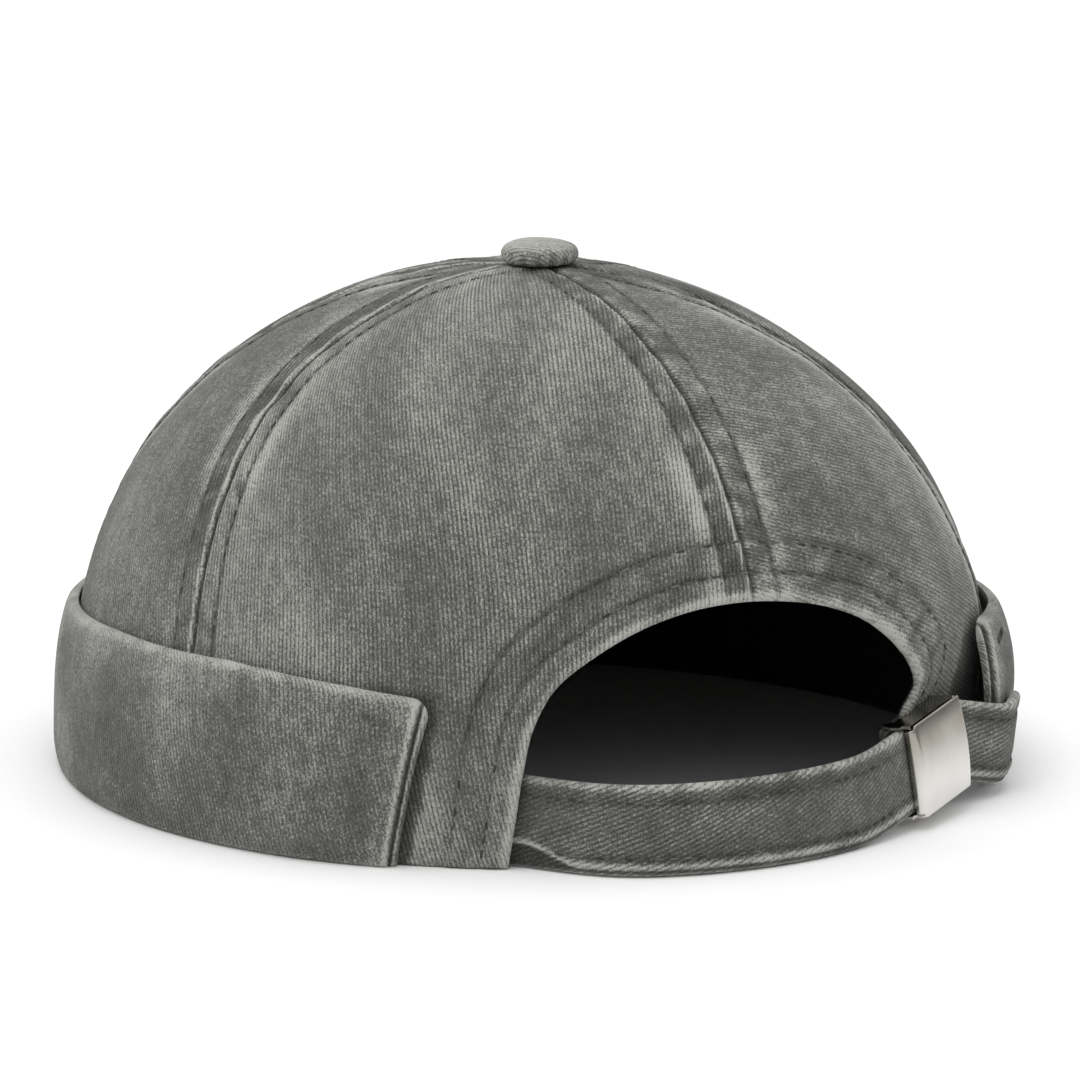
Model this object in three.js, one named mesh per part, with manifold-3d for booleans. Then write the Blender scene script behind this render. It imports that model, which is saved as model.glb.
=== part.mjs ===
import * as THREE from "three";
import { mergeVertices } from "three/addons/utils/BufferGeometryUtils.js";
import Module from "manifold-3d";

// A brimless cap of six cloth panels, with a turned-up cuff, an arched opening at the back,
// a strap with a lever buckle, and a covered button on top.
// Millimetres, +Z up. The wearer looks along -Y and the wearer's left is +X.
// Angles go round the cap in degrees: 0 at the back seam, 90 at the wearer's left.

// Cloth
const clothThickness = 1.6;
const clearance = 0.3; // between pieces that touch on the real cap
const seamGap = 0.3; // between neighbouring panels

// Crown, measured over its outer face
const crownHeight = 105.7;
const crownHalfLength = 97.8;
const crownHalfWidth = 90.9;
const wallHeight = 15.6; // upright cloth above the hem
const crownLean = { x: 1.6, y: 11.9 }; // how far the apex sits off the middle of the hem
const fullness = { back: 2.44, side: 2.03, front: 2.89 }; // exponents of the outline: more is boxier
const shoulder = 1.914;
const planLobes = { three: -0.013, two: -0.011 }; // slow waves of the hem, shares of its radius
const tipRadius = 3; // where the panels end under the button
const wallRows = 2;
const domeRows = 12;
const panelColumns = 8;

// Seams: angle at the hem, how far it wanders by the apex (first and second order), share of seamDepth
const seamDepth = 3.4;
const seams = [
  { angle: 0, lean: 0, curl: 0, depth: 0.25 },
  { angle: 76.9, lean: -9.9, curl: 34.9, depth: 0.3 },
  { angle: 130, lean: 0, curl: 8, depth: 0.15 },
  { angle: 180, lean: 0, curl: 0, depth: 0.6 },
  { angle: 242, lean: 0, curl: 6, depth: 0.7 },
  { angle: 300, lean: 0, curl: 12, depth: 0.4 },
];
const panelNames = ["back_left", "side_left", "front_left", "front_right", "side_right", "back_right"];

// Dents pressed into the cloth: middle and spread as angles, height and rise as shares of crownHeight,
// depth as a share of dentDepth
const dentDepth = 6;
const buckleDent = { middle: 13.741, rise: 15.855 }; // under the buckle, whose height it keeps
const dents = [
  { angle: -37, spread: 15, height: buckleDent.middle / crownHeight, rise: buckleDent.rise / crownHeight, depth: 1.4 },
  { angle: -46, spread: 9, height: 0.5, rise: 0.12, depth: 0.16 }, // slack above the cuff's right end
  { angle: 57, spread: 9, height: 0.45, rise: 0.13, depth: 0.14 }, // slack above the cuff's left end
];

// Arched opening in the two back panels
// Edge of the opening as seen along y, from the left leg's foot over to the right one's: x, z
const archEdge = [
  [47.8, 0],
  [47, 10],
  [46.2, 20],
  [44.6, 29],
  [40.6, 36.8],
  [33.4, 42.8],
  [24.6, 47.6],
  [14.6, 50.6],
  [4, 51.6],
  [-6.1, 50.9],
  [-16, 48.8],
  [-25.8, 44.8],
  [-34, 39],
  [-40.6, 33],
  [-44.7, 28],
  [-44.2, 25.3],
  [-42.4, 22.5],
  [-43.2, 17.5],
  [-45.4, 10],
  [-46.4, 0],
];
const archSteps = 57;

// Turned-up cuff. It ends either side of the opening
const cuffHeight = 37.5;
const cuffThickness = 2.6;
// How far the cuff's middle puffs away from the crown, round the cap
const cuffStands = [
  { angle: 42, stand: 0.8 },
  { angle: 58, stand: 2.2 },
  { angle: 80, stand: 2 },
  { angle: 100, stand: 0.9 },
  { angle: 120, stand: 0.3 },
  { angle: 145, stand: 0.4 },
  { angle: 180, stand: 1.6 },
  { angle: 235, stand: 3 },
  { angle: 290, stand: 3.6 },
  { angle: 303, stand: 2.6 },
  { angle: 316, stand: 0.8 },
];
const cuffEnds = { left: 42.5, right: 44.5 }; // angles of its upper corners from the back seam
const cuffEndSlant = 3.1; // how much further round the lower corners lie, degrees
const cuffColumns = 56;
// Across the cuff, from the hem fold to the rim: heights of both faces as shares of the rim's height,
// lean as a share of the stand, thick as a share of cuffThickness
const cuffRows = [
  { outer: 0, inner: 0.07, lean: 0, thick: 0 },
  { outer: 0, inner: 0.07, lean: 0.1, thick: 0.6 },
  { outer: 0.03, inner: 0.09, lean: 0.42, thick: 0.86 },
  { outer: 0.14, inner: 0.17, lean: 0.82, thick: 1 },
  { outer: 0.38, inner: 0.38, lean: 1, thick: 1 },
  { outer: 0.62, inner: 0.62, lean: 0.9, thick: 1 },
  { outer: 0.84, inner: 0.84, lean: 0.62, thick: 0.95 },
  { outer: 0.96, inner: 0.95, lean: 0.42, thick: 0.8 },
  { outer: 1, inner: 0.99, lean: 0.45, thick: 0.35 },
];
// Height of the rim round the cap, as shares of cuffHeight
const rimHeights = [
  { angle: 42, rise: 0.91 },
  { angle: 53, rise: 0.955 },
  { angle: 70, rise: 1 },
  { angle: 95, rise: 0.965 },
  { angle: 115, rise: 0.91 },
  { angle: 145, rise: 0.88 },
  { angle: 180, rise: 0.94 },
  { angle: 245, rise: 0.93 },
  { angle: 290, rise: 0.95 },
  { angle: 318, rise: 0.985 },
];

// Strap across the opening
const strapHeight = 18.2;
const strapThickness = 2.2;
const strapBow = 9.4; // how far its middle bows out from the line of the hem
const strapRise = 2.4; // of its lower edge above the surface, near the buckle
const strapSteps = 60;
// Along the strap: seated against the inside of the left leg (inside 1) or over the cuff (over 1),
// bow as a share of strapBow, rise of strapRise, height of strapHeight, tilt of buckleTilt
const strapStart = [
  { angle: 41, inside: 1, over: 0, bow: 0, rise: 0.2, height: 1, tilt: 0 },
  { angle: 36, inside: 1, over: 0, bow: 0, rise: 0.2, height: 1, tilt: 0 },
  { angle: 31.5, inside: 1, over: 0, bow: 0, rise: 0.2, height: 1, tilt: 0 },
  { angle: 27.5, inside: 0, over: 0, bow: 0, rise: 0.17, height: 1, tilt: 0 },
  { angle: 24, inside: 0, over: 0, bow: 0.36, rise: 0.15, height: 1, tilt: 0 },
  { angle: 20, inside: 0, over: 0, bow: 0.72, rise: 0.15, height: 1, tilt: 0 },
  { angle: 15, inside: 0, over: 0, bow: 0.95, rise: 0.15, height: 1, tilt: 0 },
  { angle: 9, inside: 0, over: 0, bow: 1, rise: 0.15, height: 1, tilt: 0 },
  { angle: 2, inside: 0, over: 0, bow: 0.93, rise: 0.15, height: 1, tilt: 0.1 },
  { angle: -6, inside: 0, over: 0, bow: 0.76, rise: 0.15, height: 1, tilt: 0.3 },
  { angle: -14, inside: 0, over: 0, bow: 0.52, rise: 0.25, height: 1, tilt: 0.6 },
];
const strapTail = [
  { angle: -45.2, inside: 0, over: 1, bow: 0.06, rise: 1.1, height: 0.92, tilt: -0.3 },
  { angle: -48.5, inside: 0, over: 1, bow: 0.09, rise: 1.1, height: 0.92, tilt: -0.5 },
  { angle: -52, inside: 0, over: 1, bow: 0.09, rise: 1.1, height: 0.92, tilt: -0.5 },
];

// Lever buckle
const buckleAngle = -29.4;
const buckleTurn = -5.4; // of its plate from the line of the hem, degrees
const buckleTilt = 6.6; // of its upper edge towards the crown, degrees
const buckleRoll = 5.7; // up towards the strap's tail, degrees
const buckleStand = 0; // of the strap's middle layer outside the line of the hem
const buckleMiddle = 12.9; // height over the surface
const buckleLength = 22.2;
const buckleWall = 0.6;
const strapInBuckle = 0.95; // share of strapHeight that the buckle squeezes it to
const hingeInset = 1.6; // of the hinge pin from the buckle's end
const pinRadius = 0.4;
const pinMargin = 0.2; // of the cheeks round the pin
const barrelWall = 0.4;
const leverBow = 0.8;
const leverSteps = 8;
const neckShare = 0.6; // of the barrel's height, where the cover curls into it
const barRadius = 0.5;
const barMargin = 0.25; // of the cheeks round the bar
const barInset = 2.2; // of the tab's bar from the buckle's end
const straightReach = 1.5; // of the strap's straight run before the buckle
const tabThickness = 0.8;
const tabAngles = [-27, -31, -35]; // of its tongue inside the right leg
const roundSteps = 8;

// Covered button
const buttonRadius = 7.9;
const buttonHeight = 4.4;
const buttonSteps = 24;
// From the underside to the top: radius and height as shares of buttonRadius and buttonHeight
const buttonProfile = [
  { radius: 0, height: 0 },
  { radius: 0.86, height: 0 },
  { radius: 0.96, height: 0.12 },
  { radius: 1, height: 0.34 },
  { radius: 0.97, height: 0.56 },
  { radius: 0.86, height: 0.77 },
  { radius: 0.62, height: 0.92 },
  { radius: 0.32, height: 0.98 },
  { radius: 0, height: 1 },
];

const cloth = new THREE.MeshStandardMaterial({ color: 0x6c6e67, roughness: 0.95, metalness: 0 });
const nickel = new THREE.MeshStandardMaterial({ color: 0xcfccc4, roughness: 0.25, metalness: 1 });

const wasm = await Module();
wasm.setup();

const mix = THREE.MathUtils.lerp;
const smooth = THREE.MathUtils.smoothstep;
const radians = THREE.MathUtils.degToRad;

// The value of a column at an angle, straight between the table's rows
function fromTable(rows, column, angle) {
  const next = rows.findIndex((row) => row.angle >= angle);
  if (next === 0) return rows[0][column];
  if (next < 0) return rows[rows.length - 1][column];
  const before = rows[next - 1];
  const after = rows[next];
  return mix(before[column], after[column], (angle - before.angle) / (after.angle - before.angle));
}

// The smooth crown before seams and dents press into it
function smoothCrown(angle, height) {
  const sin = Math.sin(radians(angle));
  const cos = Math.cos(radians(angle));
  const ends = cos > 0 ? fullness.back : fullness.front;
  const exponent = ends * cos * cos + fullness.side * sin * sin;
  const up = THREE.MathUtils.clamp((height - wallHeight) / (crownHeight - wallHeight), 0, 1);
  const narrowing = Math.pow(Math.max(1 - Math.pow(up, exponent), 0), 1 / shoulder);
  const lobes = 1 + planLobes.three * Math.cos(3 * radians(angle)) + planLobes.two * Math.sin(2 * radians(angle));
  const risen = height / crownHeight;
  return new THREE.Vector3(
    crownHalfWidth * sin * narrowing * lobes + crownLean.x * risen,
    crownHalfLength * cos * narrowing * lobes + crownLean.y * risen,
    height,
  );
}

function crownNormal(angle, height) {
  const step = 0.05;
  const low = Math.min(height, crownHeight - 2 * step);
  const round = smoothCrown(angle + step, low).sub(smoothCrown(angle - step, low));
  const rise = smoothCrown(angle, low + step).sub(smoothCrown(angle, low));
  return rise.cross(round).normalize();
}

function seamAngle(seam, height) {
  const risen = height / crownHeight;
  return seam.angle + seam.lean * risen + seam.curl * risen * risen;
}

// Seams lie deepest at the shoulder of the crown, and not at all at the hem and the apex
function seamPress(height) {
  const risen = height / crownHeight;
  return smooth(risen, 0.2, 0.75) * (1 - smooth(risen, 0.9, 1));
}

function dentPress(angle, height) {
  let press = 0;
  for (const dent of dents) {
    const away = THREE.MathUtils.euclideanModulo(angle - dent.angle + 180, 360) - 180;
    const above = height / crownHeight - dent.height;
    press += dent.depth * Math.exp(-((away / dent.spread) ** 2) - (above / dent.rise) ** 2);
  }
  return press * dentDepth;
}

// A point of the crown's outer face, or below it by inset. Across runs from one seam to the next
function panelPoint(left, right, across, height, inset) {
  const from = seamAngle(left, height);
  const to = seamAngle(right, height) + (right.angle < left.angle ? 360 : 0);
  const mid = smoothCrown((from + to) / 2, height);
  const middle = new THREE.Vector3(crownLean.x, crownLean.y, 0).multiplyScalar(height / crownHeight);
  const reach = Math.hypot(mid.x - middle.x, mid.y - middle.y);
  const half = THREE.MathUtils.radToDeg(seamGap / 2 / reach);
  const angle = mix(from + half, to - half, across);
  const depth = mix(left.depth, right.depth, across) * seamDepth * (1 - Math.sin(Math.PI * across)) ** 2;
  const press = depth * seamPress(height) + dentPress(angle, height) + inset;
  const point = smoothCrown(angle, height).addScaledVector(crownNormal(angle, height), -press);
  return height === 0 ? point.setZ(0) : point;
}

// A wall between two grids of points, closed round its edges
function wallGeometry(outer, inner) {
  const rows = outer.length;
  const columns = outer[0].length;
  const points = [...outer.flat(), ...inner.flat()];
  const at = (row, column, side) => side * rows * columns + row * columns + column;
  const faces = [];
  const quad = (a, b, c, d) => faces.push(a, b, c, a, c, d);
  for (let row = 0; row < rows - 1; row++) {
    for (let column = 0; column < columns - 1; column++) {
      quad(at(row, column, 0), at(row, column + 1, 0), at(row + 1, column + 1, 0), at(row + 1, column, 0));
      quad(at(row, column, 1), at(row + 1, column, 1), at(row + 1, column + 1, 1), at(row, column + 1, 1));
    }
    quad(at(row, 0, 1), at(row, 0, 0), at(row + 1, 0, 0), at(row + 1, 0, 1));
    const last = columns - 1;
    quad(at(row, last, 0), at(row, last, 1), at(row + 1, last, 1), at(row + 1, last, 0));
  }
  for (let column = 0; column < columns - 1; column++) {
    quad(at(0, column, 1), at(0, column + 1, 1), at(0, column + 1, 0), at(0, column, 0));
    const last = rows - 1;
    quad(at(last, column, 0), at(last, column + 1, 0), at(last, column + 1, 1), at(last, column, 1));
  }
  const geometry = new THREE.BufferGeometry().setFromPoints(points);
  geometry.setIndex(faces);
  return geometry;
}

function toSolid(geometry) {
  const bare = geometry.clone();
  bare.deleteAttribute("normal");
  bare.deleteAttribute("uv");
  const merged = mergeVertices(bare, 1e-4);
  const vertProperties = new Float32Array(merged.attributes.position.array);
  const triVerts = new Uint32Array(merged.index.array);
  return new wasm.Manifold(new wasm.Mesh({ numProp: 3, vertProperties, triVerts }));
}

function toGeometry(solid) {
  const mesh = solid.getMesh();
  const geometry = new THREE.BufferGeometry();
  geometry.setAttribute("position", new THREE.BufferAttribute(new Float32Array(mesh.vertProperties), 3));
  geometry.setIndex([...mesh.triVerts]);
  return geometry;
}

function namedMesh(name, geometry, material) {
  const faceted = geometry.index ? geometry.toNonIndexed() : geometry;
  faceted.computeVertexNormals();
  const mesh = new THREE.Mesh(faceted, material);
  mesh.name = name;
  return mesh;
}

// Heights of the rows of a panel: even up the wall, then closing in evenly towards the apex
function panelHeights() {
  const heights = [];
  for (let row = 0; row < wallRows; row++) heights.push((wallHeight * row) / wallRows);
  const last = Math.acos(Math.pow(tipRadius / crownHalfWidth, shoulder / 2));
  for (let row = 0; row <= domeRows; row++) {
    heights.push(mix(wallHeight, crownHeight, Math.sin((last * row) / domeRows)));
  }
  return heights;
}

// The opening as a block through the back of the cap
function archBlock() {
  const edge = new THREE.SplineCurve(archEdge.map(([x, z]) => new THREE.Vector2(x, z)));
  const [left] = archEdge[0];
  const [right] = archEdge[archEdge.length - 1];
  const below = -crownHeight / 2;
  const outline = new THREE.Shape([
    new THREE.Vector2(left, below),
    ...edge.getPoints(archSteps),
    new THREE.Vector2(right, below),
  ]);
  const depth = 2 * crownHalfLength;
  const block = new THREE.ExtrudeGeometry(outline, { depth, bevelEnabled: false });
  block.rotateX(Math.PI / 2);
  block.translate(0, depth + crownLean.y, 0);
  return toSolid(block);
}

function crownPanels() {
  const heights = panelHeights();
  const opening = archBlock();
  return panelNames.map((name, index) => {
    const left = seams[index];
    const right = seams[(index + 1) % seams.length];
    const face = (inset) =>
      heights.map((height) =>
        Array.from({ length: panelColumns + 1 }, (_, column) =>
          panelPoint(left, right, 1 - column / panelColumns, height, inset),
        ),
      );
    const wall = wallGeometry(face(0), face(clothThickness));
    const cut = name.startsWith("back") ? toGeometry(toSolid(wall).subtract(opening)) : wall;
    return namedMesh("panel_" + name, cut, cloth);
  });
}

// A point outside the line of the hem, carried up with the crown's own lean
function besideCrown(angle, height, outward) {
  const normal = crownNormal(angle, height);
  normal.z = 0;
  return smoothCrown(angle, height).addScaledVector(normal.normalize(), outward);
}

function cuffGeometry() {
  const face = (side) =>
    cuffRows.map((row) =>
      Array.from({ length: cuffColumns + 1 }, (_, column) => {
        const slant = cuffEndSlant * (1 - row[side]);
        const round = 0.5 - 0.5 * Math.cos((Math.PI * column) / cuffColumns);
        const share = mix(column / cuffColumns, round, 0.5);
        const angle = mix(360 - cuffEnds.right - slant, cuffEnds.left + slant, share);
        const stand = fromTable(cuffStands, "stand", angle);
        const rim = cuffHeight * fromTable(rimHeights, "rise", angle);
        const outward = clearance + row.lean * stand + (side === "outer" ? row.thick * cuffThickness : 0);
        const height = row[side] * rim;
        return besideCrown(angle, height, outward).setZ(height);
      }),
    );
  return wallGeometry(face("outer"), face("inner"));
}

// The buckle's own frame: its middle on the strap, along the strap towards its tail, outward, and up
const buckleFrame = (() => {
  const turned = crownNormal(buckleAngle, 0).applyAxisAngle(new THREE.Vector3(0, 0, 1), radians(-buckleTurn));
  const along = new THREE.Vector3(-turned.y, turned.x, 0).normalize();
  const outward = new THREE.Vector3(-along.y, along.x, 0).negate().applyAxisAngle(along, radians(-buckleTilt));
  along.applyAxisAngle(outward, radians(buckleRoll));
  const up = new THREE.Vector3().crossVectors(outward, along);
  const squeezed = strapHeight * strapInBuckle;
  const middle = besideCrown(buckleAngle, 0, buckleStand).setZ(buckleMiddle);
  return { middle, along, outward, up, squeezed };
})();

function strapSection(row) {
  const seatInside = -(clothThickness + clearance + strapThickness / 2);
  const seatOver = 2 * clearance + cuffThickness + cuffStands[cuffStands.length - 1].stand + strapThickness / 2;
  const outward = row.inside * seatInside + row.over * seatOver + row.bow * strapBow;
  const height = row.height * strapHeight;
  const lean = (height / 2) * Math.sin(radians(row.tilt * buckleTilt));
  const rise = row.rise * strapRise;
  const foot = besideCrown(row.angle, row.over * rise, outward + lean).setZ(rise);
  const head = besideCrown(row.angle, row.over * (rise + height), outward - lean).setZ(rise + height);
  return { foot, head };
}

function strapGeometry() {
  const { middle, along, up, squeezed } = buckleFrame;
  const straight = [-buckleLength / 2 - straightReach, -buckleLength / 4, buckleLength / 4, buckleLength / 2];
  const inBuckle = straight.map((reach) => {
    const centre = middle.clone().addScaledVector(along, reach);
    const half = up.clone().multiplyScalar(squeezed / 2);
    return { foot: centre.clone().sub(half), head: centre.clone().add(half) };
  });
  const sections = [...strapStart.map(strapSection), ...inBuckle, ...strapTail.map(strapSection)];
  const lower = new THREE.CatmullRomCurve3(sections.map(({ foot }) => foot), false, "centripetal");
  const upper = new THREE.CatmullRomCurve3(sections.map(({ head }) => head), false, "centripetal");
  const face = (side) =>
    [lower, upper].map((curve) =>
      Array.from({ length: strapSteps + 1 }, (_, step) => {
        const share = step / strapSteps;
        const rise = upper.getPoint(share).sub(lower.getPoint(share));
        const outward = rise.cross(lower.getTangent(share)).normalize();
        return curve.getPoint(share).addScaledVector(outward, (-side * strapThickness) / 2);
      }),
    );
  return wallGeometry(face(1), face(-1));
}

// A flat outline, given along and outward of the buckle's middle, raised to a height across its middle
function buckleSlab(outline, height) {
  const slab = new THREE.ExtrudeGeometry(outline, {
    depth: height,
    bevelEnabled: false,
    curveSegments: roundSteps,
  });
  return slab.translate(0, 0, -height / 2);
}

function outlineOf(points) {
  return new THREE.Shape(points.map(([along, outward]) => new THREE.Vector2(along, outward)));
}

function discOutline(along, outward, radius) {
  const disc = new THREE.Shape();
  disc.absarc(along, outward, radius, 0, 2 * Math.PI, false);
  return disc;
}

// Layers of the buckle, outward from the strap's middle layer
const barrelRadius = pinRadius + clearance + barrelWall;
const strapFace = strapThickness / 2;
const plateTop = strapFace + clearance;
const plateBottom = plateTop + buckleWall;
const tabRadius = barRadius + clearance + tabThickness;
const pinAlong = -buckleLength / 2 + hingeInset;
const pinOutward = strapFace + clearance + barrelRadius;
const barAlong = -buckleLength / 2 + barInset;
const barOutward = -(strapFace + clearance + tabRadius);
const insideHeight = buckleFrame.squeezed + 2 * clearance;
const buckleHeight = insideHeight + 2 * buckleWall;

// Back plate and two cheeks in one channel, with the hinge pin and the tab's bar across it
function buckleFrameGeometry() {
  const end = buckleLength / 2;
  const plateStart = barAlong + tabRadius + clearance;
  const cheek = outlineOf([
    [end, -plateBottom],
    [end, pinOutward + pinRadius],
    [pinAlong - pinRadius - pinMargin, pinOutward + pinRadius],
    [pinAlong - pinRadius - pinMargin, strapFace],
    [-end, strapFace],
    [-end, -strapFace],
    [barAlong - barRadius - barMargin, barOutward - barRadius],
    [barAlong + barRadius, barOutward - barRadius - barMargin],
    [plateStart, -plateBottom],
  ]);
  const plate = outlineOf([
    [plateStart, -plateBottom],
    [end, -plateBottom],
    [end, -plateTop],
    [plateStart, -plateTop],
  ]);
  const cheekAt = (side) => {
    const slab = buckleSlab(cheek, buckleWall);
    return toSolid(slab.translate(0, 0, (side * (insideHeight + buckleWall)) / 2));
  };
  return toGeometry(
    toSolid(buckleSlab(plate, buckleHeight))
      .add(cheekAt(-1))
      .add(cheekAt(1))
      .add(toSolid(buckleSlab(discOutline(pinAlong, pinOutward, pinRadius), buckleHeight)))
      .add(toSolid(buckleSlab(discOutline(barAlong, barOutward, barRadius), buckleHeight))),
  );
}

// Cover plate bowed across its height, curled into a barrel round the hinge pin
function buckleLeverGeometry() {
  const start = pinAlong - barrelRadius;
  const end = buckleLength / 2 + clearance;
  const face = (lift) =>
    Array.from({ length: leverSteps + 1 }, (_, step) => {
      const share = step / leverSteps;
      const bow = leverBow * (1 - (2 * share - 1) ** 2);
      const outward = pinOutward + pinRadius + clearance + lift + bow;
      return [end, start].map((reach) => new THREE.Vector3(reach, outward, (share - 0.5) * buckleHeight));
    });
  const cover = toSolid(wallGeometry(face(buckleWall), face(0)));
  const barrelHeight = insideHeight - 2 * clearance;
  const barrel = toSolid(buckleSlab(discOutline(pinAlong, pinOutward, barrelRadius), barrelHeight));
  const neckTop = pinOutward + barrelRadius + 0.5 * leverBow;
  const neck = outlineOf([
    [pinAlong - barrelRadius, pinOutward],
    [pinAlong + barrelRadius, pinOutward],
    [pinAlong + barrelRadius, neckTop],
    [pinAlong - barrelRadius, neckTop],
  ]);
  const bore = discOutline(pinAlong, pinOutward, pinRadius + clearance);
  return toGeometry(
    cover
      .add(barrel)
      .add(toSolid(buckleSlab(neck, neckShare * barrelHeight)))
      .subtract(toSolid(buckleSlab(bore, 2 * buckleHeight))),
  );
}

// Cloth tab: a loop round the buckle's bar, and a tongue sewn inside the opening's right leg
function buckleTabGeometry() {
  const { middle, along, outward } = buckleFrame;
  const seat = clothThickness + clearance + tabThickness;
  const pressed = dents[0].height * crownHeight;
  const tongue = tabAngles.map((angle) => {
    const from = besideCrown(angle, middle.z, -dentPress(angle, pressed) - seat).sub(middle);
    return [from.dot(along), from.dot(outward)];
  });
  const centres = [[barAlong, barOutward], ...tongue];
  const side = (sign) => centres.map(([reach, out]) => [reach, out + sign * tabThickness]);
  const height = insideHeight - 2 * clearance;
  const loop = toSolid(buckleSlab(discOutline(barAlong, barOutward, tabRadius), height));
  const strip = toSolid(buckleSlab(outlineOf([...side(-1), ...side(1).reverse()]), height));
  const bar = discOutline(barAlong, barOutward, barRadius + clearance);
  return toGeometry(loop.add(strip).subtract(toSolid(buckleSlab(bar, 2 * height))));
}

// The buckle's pieces share its frame, and the lever turns about its own origin
function buckleGroup() {
  const { middle, along, outward, up } = buckleFrame;
  const buckle = new THREE.Group();
  buckle.position.copy(middle);
  buckle.setRotationFromMatrix(new THREE.Matrix4().makeBasis(along, outward, up.clone().negate()));
  const leverGeometry = buckleLeverGeometry().translate(-pinAlong, -pinOutward, 0);
  const lever = namedMesh("buckle_lever", leverGeometry, nickel);
  lever.position.set(pinAlong, pinOutward, 0);
  buckle.add(namedMesh("buckle_tab", buckleTabGeometry(), cloth));
  buckle.add(namedMesh("buckle_frame", buckleFrameGeometry(), nickel));
  buckle.add(lever);
  return buckle;
}

function buttonMesh() {
  const profile = buttonProfile.map(
    ({ radius, height }) => new THREE.Vector2(radius * buttonRadius, height * buttonHeight),
  );
  const button = new THREE.LatheGeometry(profile, buttonSteps);
  button.rotateX(Math.PI / 2);
  const mesh = namedMesh("top_button", toGeometry(toSolid(button)), cloth);
  mesh.position.set(crownLean.x, crownLean.y, crownHeight + clearance);
  return mesh;
}

const cap = new THREE.Group();
cap.add(...crownPanels());
cap.add(namedMesh("cuff", cuffGeometry(), cloth));
cap.add(namedMesh("strap", strapGeometry(), cloth));
cap.add(buckleGroup());
cap.add(buttonMesh());

// The cap stands with the middle of its footprint on the origin
const footprint = new THREE.Box3().setFromObject(cap).getCenter(new THREE.Vector3());
cap.position.set(-footprint.x, -footprint.y, 0);

const part = new THREE.Group();
part.add(cap);
part.updateMatrixWorld(true);

export default part;
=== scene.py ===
import math

import bpy
import numpy as np
from mathutils import Matrix, Vector
from mathutils.geometry import delaunay_2d_cdt


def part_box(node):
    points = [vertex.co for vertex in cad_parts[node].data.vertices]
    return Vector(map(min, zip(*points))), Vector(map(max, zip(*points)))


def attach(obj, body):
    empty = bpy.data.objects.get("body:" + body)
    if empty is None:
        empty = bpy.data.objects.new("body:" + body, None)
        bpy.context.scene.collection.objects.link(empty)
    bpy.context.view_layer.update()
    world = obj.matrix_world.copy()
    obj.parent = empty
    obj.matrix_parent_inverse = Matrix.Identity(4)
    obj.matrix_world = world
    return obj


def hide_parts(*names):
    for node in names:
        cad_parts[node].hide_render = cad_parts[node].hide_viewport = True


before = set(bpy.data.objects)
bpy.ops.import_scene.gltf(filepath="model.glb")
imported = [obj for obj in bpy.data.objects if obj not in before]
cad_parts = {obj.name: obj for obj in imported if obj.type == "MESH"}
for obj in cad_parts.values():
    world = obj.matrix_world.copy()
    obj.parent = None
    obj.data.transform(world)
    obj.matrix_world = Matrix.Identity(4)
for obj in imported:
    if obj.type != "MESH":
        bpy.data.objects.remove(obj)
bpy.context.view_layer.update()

# Lengths are millimetres until a mesh is made. Angles are degrees round the cap:
# 0 at the back seam, 90 at the wearer's left.
crown = {
    "height": 105.7,
    "halfLength": 97.8,
    "halfWidth": 90.9,
    "wall": 15.6,  # height of its upright part
    "leanX": 1.6,
    "leanY": 11.9,
    "fullBack": 2.44,
    "fullSide": 2.03,
    "fullFront": 2.89,
    "shoulder": 1.914,
    "lobesThree": -0.013,
    "lobesTwo": -0.011,
    "tip": 3.0,
    "cloth": 1.6,  # thickness
}
low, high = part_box("top_button")
capShift = (low + high) / 2 - Vector((crown["leanX"], crown["leanY"], 0)) * 0.001
capShift.z = 0


def mix(a, b, t):
    return a + (b - a) * t


def smooth(x, start, end):
    # start may be the higher one, for a fall
    t = np.clip((x - start) / (end - start), 0, 1)
    return t * t * (3 - 2 * t)


def plateau(x, start, full, falls, end):
    return smooth(x, start, full) * (1 - smooth(x, falls, end))


def hump(x, middle, width):
    return np.exp(-(((x - middle) / width) ** 2))


def roll(distance, radius):
    # 0 at a folded edge, rising round to 1
    return np.sqrt(np.clip(1 - (1 - np.clip(distance / radius, 0, 1)) ** 2, 0, 1))


def unit(v):
    return v / np.maximum(np.linalg.norm(v, axis=-1, keepdims=True), 1e-12)


def lengthAlong(points, axis=0):
    # the distance run up to each point
    steps = np.linalg.norm(np.diff(points, axis=axis), axis=-1)
    return np.insert(np.cumsum(steps, axis=axis), 0, 0, axis=axis)


def sampleAt(at, run, values):
    # values has a row for each place in run
    return np.stack([np.interp(at, run, column) for column in values.T], -1)


def leftOf(line):
    tangent = unit(np.gradient(line, axis=0))
    return np.stack([-tangent[:, 1], tangent[:, 0]], 1)


def denseEnds(steps, start, count, whole=1.0):
    # close steps at both ends and even ones from start between them
    steps = np.asarray(steps, float)
    return np.concatenate([steps, np.linspace(start, whole - start, count), whole - steps[::-1]])


latticeSize = 32
lattice = np.random.default_rng(11).uniform(-1, 1, (latticeSize,) * 3)


def rough(x, y, z=0.0):
    # smooth noise between -1 and 1, one bump to each unit
    x, y, z = np.broadcast_arrays(np.asarray(x, float), y, z)
    cell = [np.floor(c).astype(int) for c in (x, y, z)]
    part = [c - f for c, f in zip((x, y, z), cell)]
    part = [p * p * (3 - 2 * p) for p in part]
    total = np.zeros(x.shape)
    for corner in range(8):
        step = [(corner >> axis) & 1 for axis in range(3)]
        weight = np.ones(x.shape)
        for axis in range(3):
            weight = weight * (part[axis] if step[axis] else 1 - part[axis])
        at = [(cell[axis] + step[axis]) % latticeSize for axis in range(3)]
        total += weight * lattice[at[0], at[1], at[2]]
    return total


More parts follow.
